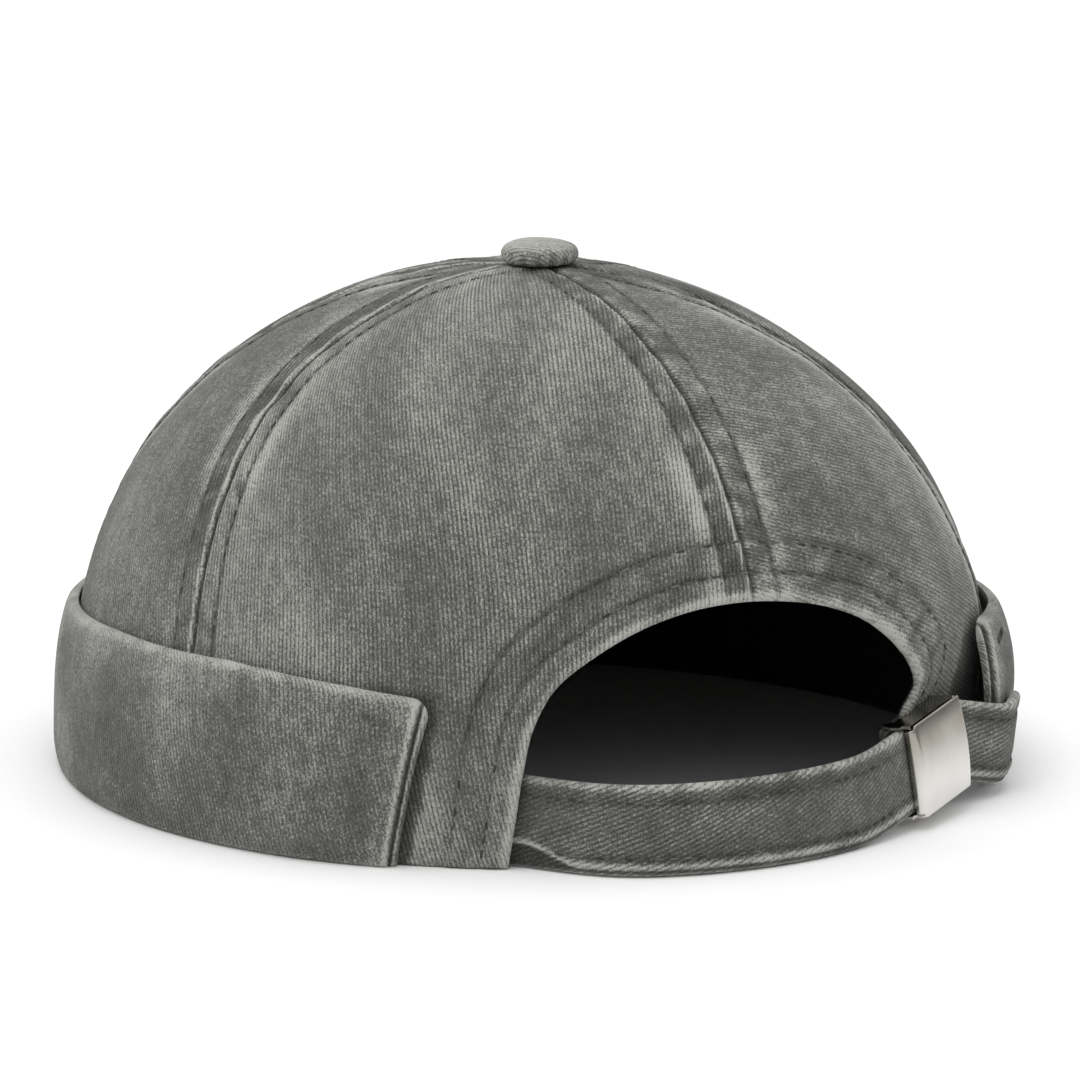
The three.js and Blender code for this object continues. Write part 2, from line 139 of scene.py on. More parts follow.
# Camera: long lens from behind and to the wearer's left, a little above the floor
view = {
    "turn": 29.11,
    "rise": 11.67,
    "distance": 1.7998,
    "lens": 293.24,
    "target": (-0.0038396, 0.0023219, 0.0462057),
}
camera = bpy.data.objects.new("camera", bpy.data.cameras.new("camera"))
bpy.context.scene.collection.objects.link(camera)
target = Vector(view["target"]) + capShift
turn, rise = math.radians(view["turn"]), math.radians(view["rise"])
away = Vector((math.sin(turn) * math.cos(rise), math.cos(turn) * math.cos(rise), math.sin(rise)))
camera.location = target + away * view["distance"]
camera.rotation_euler = (-away).to_track_quat("-Z", "Y").to_euler()
camera.data.lens = view["lens"]
camera.data.sensor_width = 36
camera.data.clip_end = 30
bpy.context.scene.camera = camera
bpy.context.scene.view_settings.view_transform = "Standard"


# Materials

def fillNode(tree, node, values):
    # an output is linked, anything else becomes the input's own value
    for socket, value in values.items():
        if isinstance(value, bpy.types.NodeSocket):
            tree.links.new(value, node.inputs[socket])
        else:
            node.inputs[socket].default_value = value


def addNode(tree, kind, values=None, **settings):
    node = tree.nodes.new("ShaderNode" + kind)
    for name, value in settings.items():
        setattr(node, name, value)
    fillNode(tree, node, values or {})
    return node


def calc(tree, operation, a, b=0.0):
    return addNode(tree, "Math", {0: a, 1: b}, operation=operation).outputs[0]


def addNoise(tree, place, scale, detail):
    return addNode(tree, "TexNoise", {"Vector": place, "Scale": scale, "Detail": detail}).outputs[0]


def startGroup(name, inputs, outputs):
    group = bpy.data.node_groups.new(name, "ShaderNodeTree")
    for label, kind, value in inputs:
        socket = group.interface.new_socket(label, in_out="INPUT", socket_type="NodeSocket" + kind)
        if value is not None:
            socket.default_value = value
    for label, kind in outputs:
        group.interface.new_socket(label, in_out="OUTPUT", socket_type="NodeSocket" + kind)
    return group, group.nodes.new("NodeGroupInput").outputs, group.nodes.new("NodeGroupOutput")


def startMaterial(name):
    material = bpy.data.materials.new(name)
    material.use_nodes = True
    return material, material.node_tree, material.node_tree.nodes["Principled BSDF"]


def twillGroup():
    # Slanted ribs of the weave and the yarns that cross them. Place is in decimetres along the cloth
    group, given, out = startGroup(
        "twillRibs",
        [
            ("Place", "Vector", None),
            ("Rib Pitch", "Float", 0.0127),
            ("Yarn Pitch", "Float", 0.0062),
            ("Waver", "Float", 0.006),
        ],
        [("Ribs", "Float"), ("Yarn", "Float")],
    )

    def wave(value, power):
        swing = calc(group, "SINE", calc(group, "MULTIPLY", value, math.pi))
        return calc(group, "POWER", calc(group, "ABSOLUTE", swing), power)

    place = addNode(group, "SeparateXYZ", {0: given["Place"]}).outputs
    drift = calc(group, "SUBTRACT", addNoise(group, given["Place"], 7.0, 1.0), 0.5)
    wander = calc(group, "MULTIPLY", drift, given["Waver"])
    across = calc(group, "DIVIDE", calc(group, "ADD", place[0], wander), given["Rib Pitch"])
    number = calc(group, "FLOOR", across)
    jitter = addNode(group, "TexWhiteNoise", {"W": number}, noise_dimensions="1D").outputs["Value"]
    along = calc(group, "ADD", calc(group, "DIVIDE", place[1], given["Yarn Pitch"]), jitter)
    along = calc(group, "ADD", along, calc(group, "MULTIPLY", across, 0.6))
    fillNode(group, out, {"Ribs": wave(across, 0.7), "Yarn": wave(along, 0.6)})
    return group


def fadeGroup():
    # Washed colour: deep where the dye stays and where shade is painted, worn where the cloth was rubbed and where
    # light is painted. Place is as above
    group, given, out = startGroup(
        "washedFade",
        [
            ("Deep", "Color", None),
            ("Body", "Color", None),
            ("Worn", "Color", None),
            ("Fade", "Float", 0.45),
            ("Ribs", "Float", 0.5),
            ("Yarn", "Float", 0.5),
            ("Place", "Vector", None),
            ("Blotch", "Float", 0.25),
            ("Speckle", "Float", 0.3),
            ("Rib Contrast", "Float", 0.35),
        ],
        [("Color", "Color"), ("Height", "Float")],
    )
    drawn = addNode(group, "Mapping", {"Vector": given["Place"], "Scale": (1.0, 0.55, 1.0)}).outputs[0]
    speck = addNoise(group, drawn, 270.0, 1.0)
    rubbed = addNode(
        group,
        "MapRange",
        {
            "Value": addNoise(group, drawn, 3.7, 2.0),
            "From Min": 0.38,
            "From Max": 0.62,
            "To Min": 0.55,
            "To Max": 1.15,
        },
    ).outputs[0]
    contrast = calc(group, "MULTIPLY", given["Rib Contrast"], rubbed)
    level = given["Fade"]
    for value, amount in (
        (addNoise(group, drawn, 6.5, 3.0), given["Blotch"]),
        (addNoise(group, drawn, 1.6, 1.0), given["Blotch"]),
        (given["Ribs"], contrast),
        (given["Yarn"], calc(group, "MULTIPLY", contrast, 0.35)),
        (speck, given["Speckle"]),
        (addNoise(group, drawn, 48.0, 2.0), calc(group, "MULTIPLY", given["Speckle"], 0.45)),
    ):
        change = calc(group, "MULTIPLY", calc(group, "SUBTRACT", value, 0.5), amount)
        level = calc(group, "ADD", level, change)
    lower = calc(group, "MULTIPLY", level, 2.0)
    upper = calc(group, "SUBTRACT", lower, 1.0)
    dark = addNode(group, "Mix", {0: lower, 6: given["Deep"], 7: given["Body"]}, data_type="RGBA")
    final = addNode(group, "Mix", {0: upper, 6: dark.outputs[2], 7: given["Worn"]}, data_type="RGBA")
    yarns = calc(group, "ADD", given["Ribs"], calc(group, "MULTIPLY", given["Yarn"], 0.35))
    height = calc(group, "ADD", yarns, calc(group, "MULTIPLY", speck, 1.1))
    fillNode(group, out, {"Color": final.outputs[2], "Height": height})
    return group


twillRibs = twillGroup()
washedFade = fadeGroup()

washedTwill = {
    "Deep": (0.028, 0.0292, 0.0248, 1),
    "Body": (0.108, 0.1105, 0.0985, 1),
    "Worn": (0.400, 0.4050, 0.3730, 1),
    "Rib Pitch": 0.0094,
    "Yarn Pitch": 0.0058,
    "Waver": 0.004,
    "Blotch": 0.36,
    "Speckle": 1.05,
    "Rib Contrast": 0.46,
    "relief": 0.0002,
    "strength": 0.7,
}
faintTwill = {**washedTwill, "Rib Contrast": 0.32, "Speckle": 1.15, "Blotch": 0.42}  # where the weave is washed flat
# the inside of the same cloth, painted near black for the shade inside the crown
shadedInsideTwill = {
    **washedTwill,
    "Deep": (0.004, 0.004, 0.004, 1),
    "Body": (0.011, 0.011, 0.010, 1),
    "Worn": (0.04, 0.04, 0.036, 1),
}
topstitch = {
    "deep": (0.012, 0.0125, 0.011, 1),
    "body": (0.036, 0.037, 0.033, 1),
    "worn": (0.12, 0.121, 0.109, 1),
}
# the darker colour is tarnish haze and a painted dark reflection over the buckle's upper part
nickelPlate = {
    "bright": (0.79, 0.775, 0.745, 1),
    "tarnishAndDarkReflection": (0.27, 0.25, 0.212, 1),
    "grain": 900.0,
    "darkReflectionAbove": 0.0118,
}


def clothMaterial(name, look):
    material, tree, shader = startMaterial(name)
    place = addNode(tree, "UVMap", uv_map="cloth").outputs[0]
    weave = {label: look[label] for label in ("Rib Pitch", "Yarn Pitch", "Waver")}
    ribs = addNode(tree, "Group", {}, node_tree=twillRibs)
    fillNode(tree, ribs, {"Place": place, **weave})
    wash = {label: look[label] for label in ("Deep", "Body", "Worn", "Blotch", "Speckle", "Rib Contrast")}
    colour = addNode(tree, "Group", {}, node_tree=washedFade)
    fillNode(tree, colour, {
        "Fade": addNode(tree, "Attribute", attribute_name="fadeAndShading").outputs["Fac"],
        "Ribs": ribs.outputs["Ribs"],
        "Yarn": ribs.outputs["Yarn"],
        "Place": place,
        **wash,
    })
    height = {"Height": colour.outputs["Height"], "Distance": look["relief"], "Strength": look["strength"]}
    fillNode(tree, shader, {
        "Base Color": colour.outputs["Color"],
        "Normal": addNode(tree, "Bump", height).outputs[0],
        "Roughness": 0.92,
        "Specular IOR Level": 0.15,
        "Sheen Weight": 0.12,
        "Sheen Roughness": 0.6,
    })
    return material


def threadMaterial(name, look):
    material, tree, shader = startMaterial(name)
    spot = addNode(tree, "TexCoord").outputs["Object"]
    ramp = addNode(tree, "ValToRGB", {0: addNoise(tree, spot, 260.0, 2.0)})
    first, last = ramp.color_ramp.elements
    first.position, first.color = 0.30, look["deep"]
    last.position, last.color = 0.62, look["worn"]
    ramp.color_ramp.elements.new(0.47).color = look["body"]
    ply = {"Height": addNoise(tree, spot, 2600.0, 1.0), "Distance": 0.0001, "Strength": 0.6}
    fillNode(tree, shader, {
        "Base Color": ramp.outputs[0],
        "Normal": addNode(tree, "Bump", ply).outputs[0],
        "Roughness": 0.8,
    })
    return material


def nickelMaterial(name, look):
    material, tree, shader = startMaterial(name)
    spot = addNode(tree, "TexCoord").outputs["Object"]
    stretched = addNode(tree, "Mapping", {"Vector": spot, "Scale": (1.0, 1.0, 0.06)}).outputs[0]
    haze = addNoise(tree, spot, 160.0, 3.0)
    # painted dark reflection over the upper part of the buckle, by height
    upper = addNode(
        tree,
        "MapRange",
        {
            "Value": addNode(tree, "SeparateXYZ", {0: spot}).outputs[2],
            "From Min": look["darkReflectionAbove"] - 0.004,
            "From Max": look["darkReflectionAbove"] + 0.008,
        },
        interpolation_type="SMOOTHSTEP",
    ).outputs[0]
    # tarnish haze and the painted dark reflection together
    worn = calc(tree, "ADD", calc(tree, "MULTIPLY", haze, 0.22), calc(tree, "MULTIPLY", upper, 0.78))
    tint = addNode(tree, "Mix", {0: worn, 6: look["bright"], 7: look["tarnishAndDarkReflection"]}, data_type="RGBA")
    brushed = {"Height": addNoise(tree, stretched, look["grain"], 2.0), "Distance": 0.00001, "Strength": 0.35}
    fillNode(tree, shader, {
        "Base Color": tint.outputs[2],
        "Roughness": addNode(tree, "MapRange", {"Value": haze, "To Min": 0.10, "To Max": 0.26}).outputs[0],
        "Normal": addNode(tree, "Bump", brushed).outputs[0],
        "Metallic": 1.0,
    })
    return material


outsideCloth = clothMaterial("washedTwill", washedTwill)
faintCloth = clothMaterial("faintTwill", faintTwill)
shadedInsideCloth = clothMaterial("shadedInsideTwill", shadedInsideTwill)
thread = threadMaterial("topstitch", topstitch)
nickel = nickelMaterial("nickelPlate", nickelPlate)
print("materials ready")


# Meshes

def buildPiece(name, points, faces, materials, place=None, fadeAndShading=None, inside=None, body="cap"):
    # place and fadeAndShading may be given for the outer half of a sheet's points alone
    mesh = bpy.data.meshes.new(name)
    world = points * 0.001 + np.array(capShift)
    mesh.from_pydata(world.tolist(), [], faces)
    for material in materials:
        mesh.materials.append(material)
    if inside is not None:
        mesh.polygons.foreach_set("material_index", inside.astype(np.int32))
    if place is not None:
        corners = np.empty(len(mesh.loops), np.int32)
        mesh.loops.foreach_get("vertex_index", corners)
        place = np.resize(place, (len(points), 2))
        mesh.uv_layers.new(name="cloth").data.foreach_set("uv", (place[corners] / 100).ravel())
    if fadeAndShading is not None:
        fadeAndShading = np.clip(np.resize(fadeAndShading, len(points)), 0, 1.2)
        mesh.attributes.new("fadeAndShading", "FLOAT", "POINT").data.foreach_set("value", fadeAndShading)
    mesh.shade_smooth()
    piece = bpy.data.objects.new(name, mesh)
    bpy.context.scene.collection.objects.link(piece)
    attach(piece, body)
    return piece


def closeSheet(outer, inner, faces):
    # outer and inner points with the same faces, joined round their open edges
    count = len(outer)
    edges = np.concatenate([faces, np.roll(faces, -1, axis=1)]).reshape(2, -1, faces.shape[1])
    edges = edges.transpose(2, 1, 0).reshape(-1, 2)
    edges = edges[edges[:, 0] != edges[:, 1]]
    start, end = edges.T
    start, end = edges[~np.isin(start * count + end, end * count + start)].T
    rim = np.stack([end, start, start + count, end + count], 1)
    back = faces[:, ::-1] + count
    inside = np.repeat([0, 1, 0], [len(faces), len(back), len(rim)])
    return np.concatenate([outer, inner]), faces.tolist() + back.tolist() + rim.tolist(), inside


def gridFaces(rows, columns):
    # rows go up, columns to the right as seen from outside
    r, c = np.meshgrid(np.arange(rows - 1), np.arange(columns - 1), indexing="ij")
    at = (r * columns + c).ravel()
    return np.stack([at, at + 1, at + columns + 1, at + columns], 1)


def ringFaces(rings, sides):
    # a grid closed round on itself
    ring, side = np.divmod(np.arange((rings - 1) * sides), sides)
    at, after = ring * sides + side, ring * sides + (side + 1) % sides
    return np.stack([at, after, after + sides, at + sides], 1)


def slant(u, v, degrees):
    # turns the cloth so that its ribs lean over to the left
    a = math.radians(degrees)
    return np.stack([u * math.cos(a) + v * math.sin(a), -u * math.sin(a) + v * math.cos(a)], -1)


def spline(values, samples):
    # smooth curve through evenly spaced rows of values
    values = np.asarray(values, float)
    padded = np.concatenate([2 * values[:1] - values[1:2], values, 2 * values[-1:] - values[-2:-1]])
    at = np.linspace(0, len(values) - 1, samples)
    k = np.minimum(at.astype(int), len(values) - 2)
    t = (at - k)[:, None]
    a, b, c, d = padded[k], padded[k + 1], padded[k + 2], padded[k + 3]
    return 0.5 * (2 * b + (c - a) * t + (2 * a - 5 * b + 4 * c - d) * t**2 + (3 * b - a - 3 * c + d) * t**3)


# Crown surface

def smoothCrown(angle, height):
    angle, height = np.broadcast_arrays(np.asarray(angle, float), np.asarray(height, float))
    a = np.radians(angle)
    sin, cos = np.sin(a), np.cos(a)
    ends = np.where(cos > 0, crown["fullBack"], crown["fullFront"])
    exponent = ends * cos**2 + crown["fullSide"] * sin**2
    up = np.clip((height - crown["wall"]) / (crown["height"] - crown["wall"]), 0, 1)
    narrowing = np.maximum(1 - up**exponent, 0) ** (1 / crown["shoulder"])
    lobes = 1 + crown["lobesThree"] * np.cos(3 * a) + crown["lobesTwo"] * np.sin(2 * a)
    risen = height / crown["height"]
    x = crown["halfWidth"] * sin * narrowing * lobes + crown["leanX"] * risen
    y = crown["halfLength"] * cos * narrowing * lobes + crown["leanY"] * risen
    return np.stack([x, y, height], -1)


def crownNormal(angle, height):
    step = 0.05
    height = np.minimum(height, crown["height"] - 2 * step)
    sideways = smoothCrown(angle + step, height) - smoothCrown(angle - step, height)
    upward = smoothCrown(angle, height + step) - smoothCrown(angle, height)
    return unit(np.cross(upward, sideways))


def besideCrown(angle, height, outward, z):
    normal = crownNormal(angle, height)
    normal[..., 2] = 0
    point = smoothCrown(angle, height) + unit(normal) * np.asarray(outward)[..., None]
    point[..., 2] = z
    return point


seams = {
    "deepest": 3.4,
    "rows": [  # angle at the hem, lean and curl towards the apex, depth of the valley
        (0, 0, 0, 0.25),
        (76.9, -9.9, 34.9, 0.3),
        (130, 0, 8, 0.15),
        (180, 0, 0, 0.6),
        (242, 0, 6, 0.7),
        (300, 0, 12, 0.4),
    ],
    "stitchAway": 5.7,  # of the topstitch rows from the seam
    "stitchSink": 0.25,
    "groove": 0.7,
    "ridge": 0.25,
    "lip": 0.16,
    "pucker": 0.34,
    "finePucker": 0.10,
    "gather": 0.35,  # folds that run out from under the button
    "hollow": 1.3,  # of the band beside the last seam, which its neighbour's panel stands over
    "swell": 0.55,  # unevenness of the whole cloth
    "dimple": 0.14,
}
crownFadeAndShading = {  # 0 is the deep dye, 1 worn pale; some amounts are painted light and painted shade
    "base": 0.43,
    "pucker": 0.10,
    "finePucker": 0.24,
    "band": (0.18, 0.01),  # darker between a seam and its stitches, on the panel's low and high side
    "patches": 0.34,  # worn places beyond the stitches
    "lip": 1.05,
    "groove": 0.38,
    "stitches": 0.26,
    "top": 0.06,
    "swell": 0.05,
    "streaks": 0.06,
    "gather": 0.13,
    # painted light beyond the hollow beside the last seam, painted shade in the hollow, and painted light on the
    # neighbouring panel's edge
    "lit": 0.22,
    "hollow": 0.36,
    "litBesideHollow": 0.34,
    "palest": 0.8,  # the weave still shows on the palest wear
}
dents = [  # angle, spread, height, rise, depth
    (-37, 15, 0.13, 0.15, 8.4),
    (-46, 9, 0.5, 0.12, 0.96),
    (57, 9, 0.45, 0.13, 0.84),
]
panels = {  # slant of the twill's ribs, and how far they swing over by the hem
    "back_left": (0, 0.42),
    "side_left": (24, 0.0),
    "front_left": (-20, 0.0),
    "front_right": (15, 0.0),
    "side_right": (-55, 0.0),
    "back_right": (66, 0.0),
}
weave = {
    "apart": 37.0,  # each panel is cut from its own place of the cloth
    "swingBelow": 38,
    "upright": 0.0023,  # how the ribs of the large panel swing upright towards the top
    "uprightAbove": 50,
}
cuff = {
    "height": 37.5,
    "thick": 2.6,
    "gap": 0.3,
    "stands": [  # angle, how far the middle of the cuff stands off the crown
        (42, 0.8), (58, 2.2), (80, 2.0), (100, 0.9), (120, 0.3), (145, 0.4),
        (180, 1.6), (235, 3.0), (290, 3.6), (303, 2.6), (316, 0.8),
    ],
    "rim": [  # angle, share of the height
        (42, 0.91), (53, 0.955), (70, 1), (95, 0.965), (115, 0.91),
        (145, 0.88), (180, 0.94), (245, 0.93), (290, 0.95), (318, 0.985),
    ],
    "outer": [  # height share, lean share of the puff, share of the thickness
        (0, 0, 0), (0, 0.1, 0.6), (0.03, 0.42, 0.86), (0.14, 0.82, 1), (0.38, 1, 1),
        (0.62, 0.9, 1), (0.84, 0.62, 0.97), (0.96, 0.43, 0.86), (0.992, 0.43, 0.55), (1, 0.44, 0.15),
    ],
    "inner": [
        (0.07, 0, 0), (0.07, 0.1, 0), (0.09, 0.42, 0), (0.17, 0.82, 0), (0.38, 1, 0),
        (0.62, 0.9, 0), (0.84, 0.62, 0), (0.95, 0.42, 0), (0.985, 0.42, 0), (0.995, 0.44, 0),
    ],
    "left": 42.5,
    "right": 44.5,
    "perDegree": 1.62,  # millimetres round the cuff
    "slant": 3.1,
    "corner": 3.6,  # radius of its upper corners
    "layer": 1.15,  # how far the under layer shows beyond the top one
    "lifted": 2.2,  # of its foot at the right end
    "bulge": 0.55,
    "wrinkle": 0.16,
    "ribs": 22,
    "shade": 0.95,  # painted shadow on the panels behind its ends
}
cuffLong = cuff["perDegree"] * (360 - cuff["left"] - cuff["right"])
arch = {
    "line": [  # edge of the opening as seen along y, from the left leg's foot over to the right one's: x, height
        (47.8, 0), (47, 10), (46.2, 20), (44.6, 29), (40.6, 36.8), (33.4, 42.8), (24.6, 47.6),
        (14.6, 50.6), (4, 51.6), (-6.1, 50.9), (-16, 48.8), (-25.8, 44.8), (-34, 39), (-40.6, 33),
        (-44.7, 28), (-44.2, 25.3), (-42.4, 22.5), (-43.2, 17.5), (-45.4, 10), (-46.4, 0),
    ],
    "rows": (5.8, 12.4),
    "edge": 1.15,
    "lightEdge": 2.6,
    "raised": 0.40,
    "pinch": 0.20,
    "stitchSink": 0.30,
    "puffed": 0.20,
}
# leg is painted light that lifts the shade on the legs of the opening
archFadeAndShading = {"pinch": 0.18, "stitches": 0.26, "tucked": 0.05, "lightEdge": 0.46, "edgePinch": 0.12, "leg": 0.15}


def seamAngle(row, height):
    risen = height / crown["height"]
    return row[0] + row[1] * risen + row[2] * risen**2


def seamPress(height):
    return plateau(height / crown["height"], 0.2, 0.75, 0.9, 1)


def dentPress(angle, height):
    press = 0
    for middle, spread, level, reach, depth in dents:
        aside = np.mod(angle - middle + 180, 360) - 180
        above = height / crown["height"] - level
        press = press + depth * np.exp(-((aside / spread) ** 2) - (above / reach) ** 2)
    return press


def archCurve(count):
    # from the right leg's foot to the left one's; the angle on the crown at each x is found by halving
    line = spline(arch["line"], count)[::-1]
    x, z = line[:, 0], np.maximum(line[:, 1], 0)
    lowest, highest = np.full(count, -75.0), np.full(count, 75.0)
    for _ in range(40):
        middle = (lowest + highest) / 2
        right = smoothCrown(middle, z)[:, 0] > x
        highest, lowest = np.where(right, middle, highest), np.where(right, lowest, middle)
    return (lowest + highest) / 2, z


archAngles, archHeights = archCurve(900)
archLine = smoothCrown(archAngles, archHeights)


def archDistance(points):
    best = np.full(len(points), 1e9)
    for start in range(0, len(archLine), 60):
        chunk = archLine[start:start + 60]
        best = np.minimum(best, np.linalg.norm(points[:, None] - chunk[None], axis=-1).min(1))
    return best


def inOpening(points):
    # even-odd count of the opening's edge to the left of each point, seen along y
    line = spline(arch["line"], 200)
    line = np.concatenate([line, [[line[-1, 0], -1], [line[0, 0], -1]]])
    inside = np.zeros(len(points), bool)
    for (x0, z0), (x1, z1) in zip(line, np.roll(line, -1, axis=0)):
        if z0 == z1:
            continue
        crosses = (z0 > points[:, 2]) != (z1 > points[:, 2])
        inside ^= crosses & (points[:, 0] < x0 + (points[:, 2] - z0) * (x1 - x0) / (z1 - z0))
    return inside


class Gore:
    # One panel of the crown laid flat: u to the right of its middle line, v up from the hem
    def __init__(self, index):
        self.name = list(panels)[index]
        self.back = self.name.startswith("back")
        self.wrap = 360 if index == 5 else 0
        self.low, self.high = seams["rows"][index], seams["rows"][(index + 1) % 6]
        last = math.acos((crown["tip"] / crown["halfWidth"]) ** (crown["shoulder"] / 2))
        dome = mix(crown["wall"], crown["height"], np.sin(last * np.linspace(0, 1, 240)))
        self.heights = np.concatenate([np.linspace(0, crown["wall"], 20, endpoint=False), dome])
        self.start = seamAngle(self.low, self.heights)
        self.end = seamAngle(self.high, self.heights) + self.wrap
        line = smoothCrown((self.start + self.end) / 2, self.heights)
        self.climb = lengthAlong(line)
        risen = self.heights / crown["height"]
        reach = np.hypot(line[:, 0] - crown["leanX"] * risen, line[:, 1] - crown["leanY"] * risen)
        self.widths = np.radians(self.end - self.start) * reach
        self.length = self.climb[-1]

    def half(self, v):
        return np.interp(v, self.climb, self.widths) / 2

    def at(self, u, v):
        height, start, end = (np.interp(v, self.climb, row) for row in (self.heights, self.start, self.end))
        width = 2 * self.half(v)
        across = np.clip(0.5 - u / width, 0, 1)
        return height, width, across, mix(start, end, across)

    def flat(self, angle, height):
        v, start, end, width = (
            np.interp(height, self.heights, row) for row in (self.climb, self.start, self.end, self.widths)
        )
        across = (angle + self.wrap - start) / (end - start)
        return np.stack([(0.5 - across) * width, v], -1)

    def clearOf(self, u, v, distance):
        # whether places of the flat panel lie that far outside the opening
        height, _, _, angle = self.at(u, v)
        base = smoothCrown(angle, height)
        return ~inOpening(base) & (archDistance(base) > distance)

    def seamwork(self, u, v, height, width, across, base):
        # relief and fadeAndShading of the cloth beside its two seams
        lowSide = across < 0.5
        seam = np.minimum(across, 1 - across) * width
        number = np.where(lowSide, self.low[0], self.high[0] % 360) * 0.37  # its own puckers for each seam
        row = seams["stitchAway"]
        band = 1 - smooth(seam, row - 0.6, row + 1.2)
        near = hump(seam, 0, 9.0) * (1 - 0.6 * smooth(v, self.length - 25, self.length))
        tug = rough(v / 5.2 + seam * 0.10, seam / 16.0, number) * near
        fine = rough(v / 2.6 + seam * 0.2, seam / 5.0, number + 9) * band
        swell = rough(*(base / 30).T) * seams["swell"] + rough(*(base / 12 + (0, 0, 5)).T) * seams["dimple"]
        stitchLine, groove = hump(seam, row, 0.5), hump(seam, 0, 0.45)
        patches = smooth(rough(v / 13, seam / 30, number + 3), -0.1, 0.55)
        beyond = smooth(seam, row, row + 1.5) * hump(seam, 7.4, 3.2)
        lip = hump(seam, 1.0, 0.45) * (0.5 + 0.5 * patches) * np.where(lowSide, 1.0, 0.2)
        relief = swell + seams["ridge"] * band + seams["pucker"] * tug + seams["finePucker"] * fine
        relief += seams["lip"] * lip - seams["groove"] * hump(seam, 0, 0.7) - seams["stitchSink"] * stitchLine
        fadeAndShading = crownFadeAndShading["base"] + crownFadeAndShading["pucker"] * tug + crownFadeAndShading["finePucker"] * fine
        fadeAndShading += crownFadeAndShading["patches"] * beyond * patches - np.where(lowSide, *crownFadeAndShading["band"]) * band
        fadeAndShading += crownFadeAndShading["lip"] * lip - crownFadeAndShading["groove"] * groove - crownFadeAndShading["stitches"] * stitchLine
        fadeAndShading += crownFadeAndShading["top"] * smooth(height, 50, 100) + crownFadeAndShading["swell"] * swell
        fadeAndShading += crownFadeAndShading["streaks"] * rough(u / 9.0, v / 60.0, 3.0 + self.low[0])
        upper = plateau(height, 30, 60, 99, 105)
        # painted shade in the hollow beside the last seam, with painted light on the cloth beyond it and on the
        # neighbouring panel's edge
        if self.name == "side_right":
            beside = ~lowSide * upper
            shaded = 1 - smooth(seam, 8.5, 14.5)
            relief -= seams["hollow"] * hump(seam, 3.2, 3.4) * beside
            fadeAndShading += (crownFadeAndShading["lit"] * plateau(seam, 12, 15, 17, 36) - crownFadeAndShading["hollow"] * shaded) * beside
        if self.name == "back_right":
            fadeAndShading += crownFadeAndShading["litBesideHollow"] * lowSide * hump(seam, 3.2, 3.0) * upper
        return relief, fadeAndShading

    def hemwork(self, height, base, edge):
        # relief and fadeAndShading of the doubled cloth round the opening
        first, last = arch["rows"]
        hemBand = 1 - smooth(edge, last - 0.5, last + 1.0)
        pinch = rough((base[:, 0] + base[:, 2]) / 3.4, edge / 7.0, 21.0) * hemBand
        rows = hump(edge, first, 0.65) + hump(edge, last, 0.65)
        leg = 1 - smooth(height, 16, 34)
        relief = arch["raised"] * hemBand + arch["pinch"] * pinch - arch["stitchSink"] * rows
        relief += arch["puffed"] * plateau(edge, 1.5, 3.5, 3.5, first)
        fadeAndShading = (archFadeAndShading["pinch"] * pinch - archFadeAndShading["stitches"] * rows) * (1 - 0.75 * leg)
        fadeAndShading -= archFadeAndShading["tucked"] * smooth(edge, first, first + 2) * hemBand
        lightEdge = 1 - smooth(edge, arch["lightEdge"] * 0.35, arch["lightEdge"])
        fadeAndShading += lightEdge * (archFadeAndShading["lightEdge"] + archFadeAndShading["edgePinch"] * pinch)
        # painted light on the legs of the opening
        return relief, fadeAndShading + archFadeAndShading["leg"] * leg * (1 - smooth(edge, 22, 30))

    def surface(self, u, v):
        # outer and inner face, normal and fadeAndShading at places of the flat panel
        height, width, across, angle = self.at(u, v)
        base, normal = smoothCrown(angle, height), crownNormal(angle, height)
        valley = mix(self.low[3], self.high[3], across) * seams["deepest"] * (1 - np.sin(math.pi * across)) ** 2
        base = base - normal * (valley * seamPress(height) + dentPress(angle, height))[:, None]
        relief, fadeAndShading = self.seamwork(u, v, height, width, across, base)
        fromTop = self.length - v
        folds = rough(np.radians(angle) * 5.2, fromTop / 22.0, 31.0) * smooth(fromTop, 32, 8)
        relief += seams["gather"] * folds
        fadeAndShading += crownFadeAndShading["gather"] * folds
        fold = v
        if self.back:
            edge = archDistance(smoothCrown(angle, height))
            fold = np.minimum(edge, v)
            hemRelief, hemFade = self.hemwork(height, base, edge)
            relief += hemRelief
            fadeAndShading += hemFade
        # painted shadow of the cuff's ends on the panels behind them
        for cuffEnd, side in ((cuff["left"], -1), (360 - cuff["right"], 1)):
            fromEnd = (angle - cuffEnd) * side + cuff["slant"] * (1 - height / cuff["height"])
            behind = plateau(fromEnd * cuff["perDegree"], -14, -10, 1.5, 2.7)
            fadeAndShading -= cuff["shade"] * behind * (1 - smooth(height, 29, 37))
        over = fadeAndShading - crownFadeAndShading["palest"]
        fadeAndShading = np.where(over > 0, crownFadeAndShading["palest"] + over * 0.35, fadeAndShading)
        turned = roll(fold, arch["edge"])
        cloth = crown["cloth"]
        outer = base + normal * (relief * turned - cloth * 0.5 * (1 - turned))[:, None]
        inner = base - normal * (cloth * (0.52 + 0.48 * turned) - relief * 0.3 * turned)[:, None]
        for face in (outer, inner):
            face[:, 2] = np.maximum(face[:, 2], 0.05)
        return outer, inner, normal, fadeAndShading


stitches = {"pitch": 3.0, "long": 2.3, "thick": 0.44, "sink": 0.11}
strapStitches = dict(stitches, pitch=2.9, long=2.2, thick=0.45)
tackStitches = dict(stitches, pitch=1.15, long=1.0, thick=0.5)


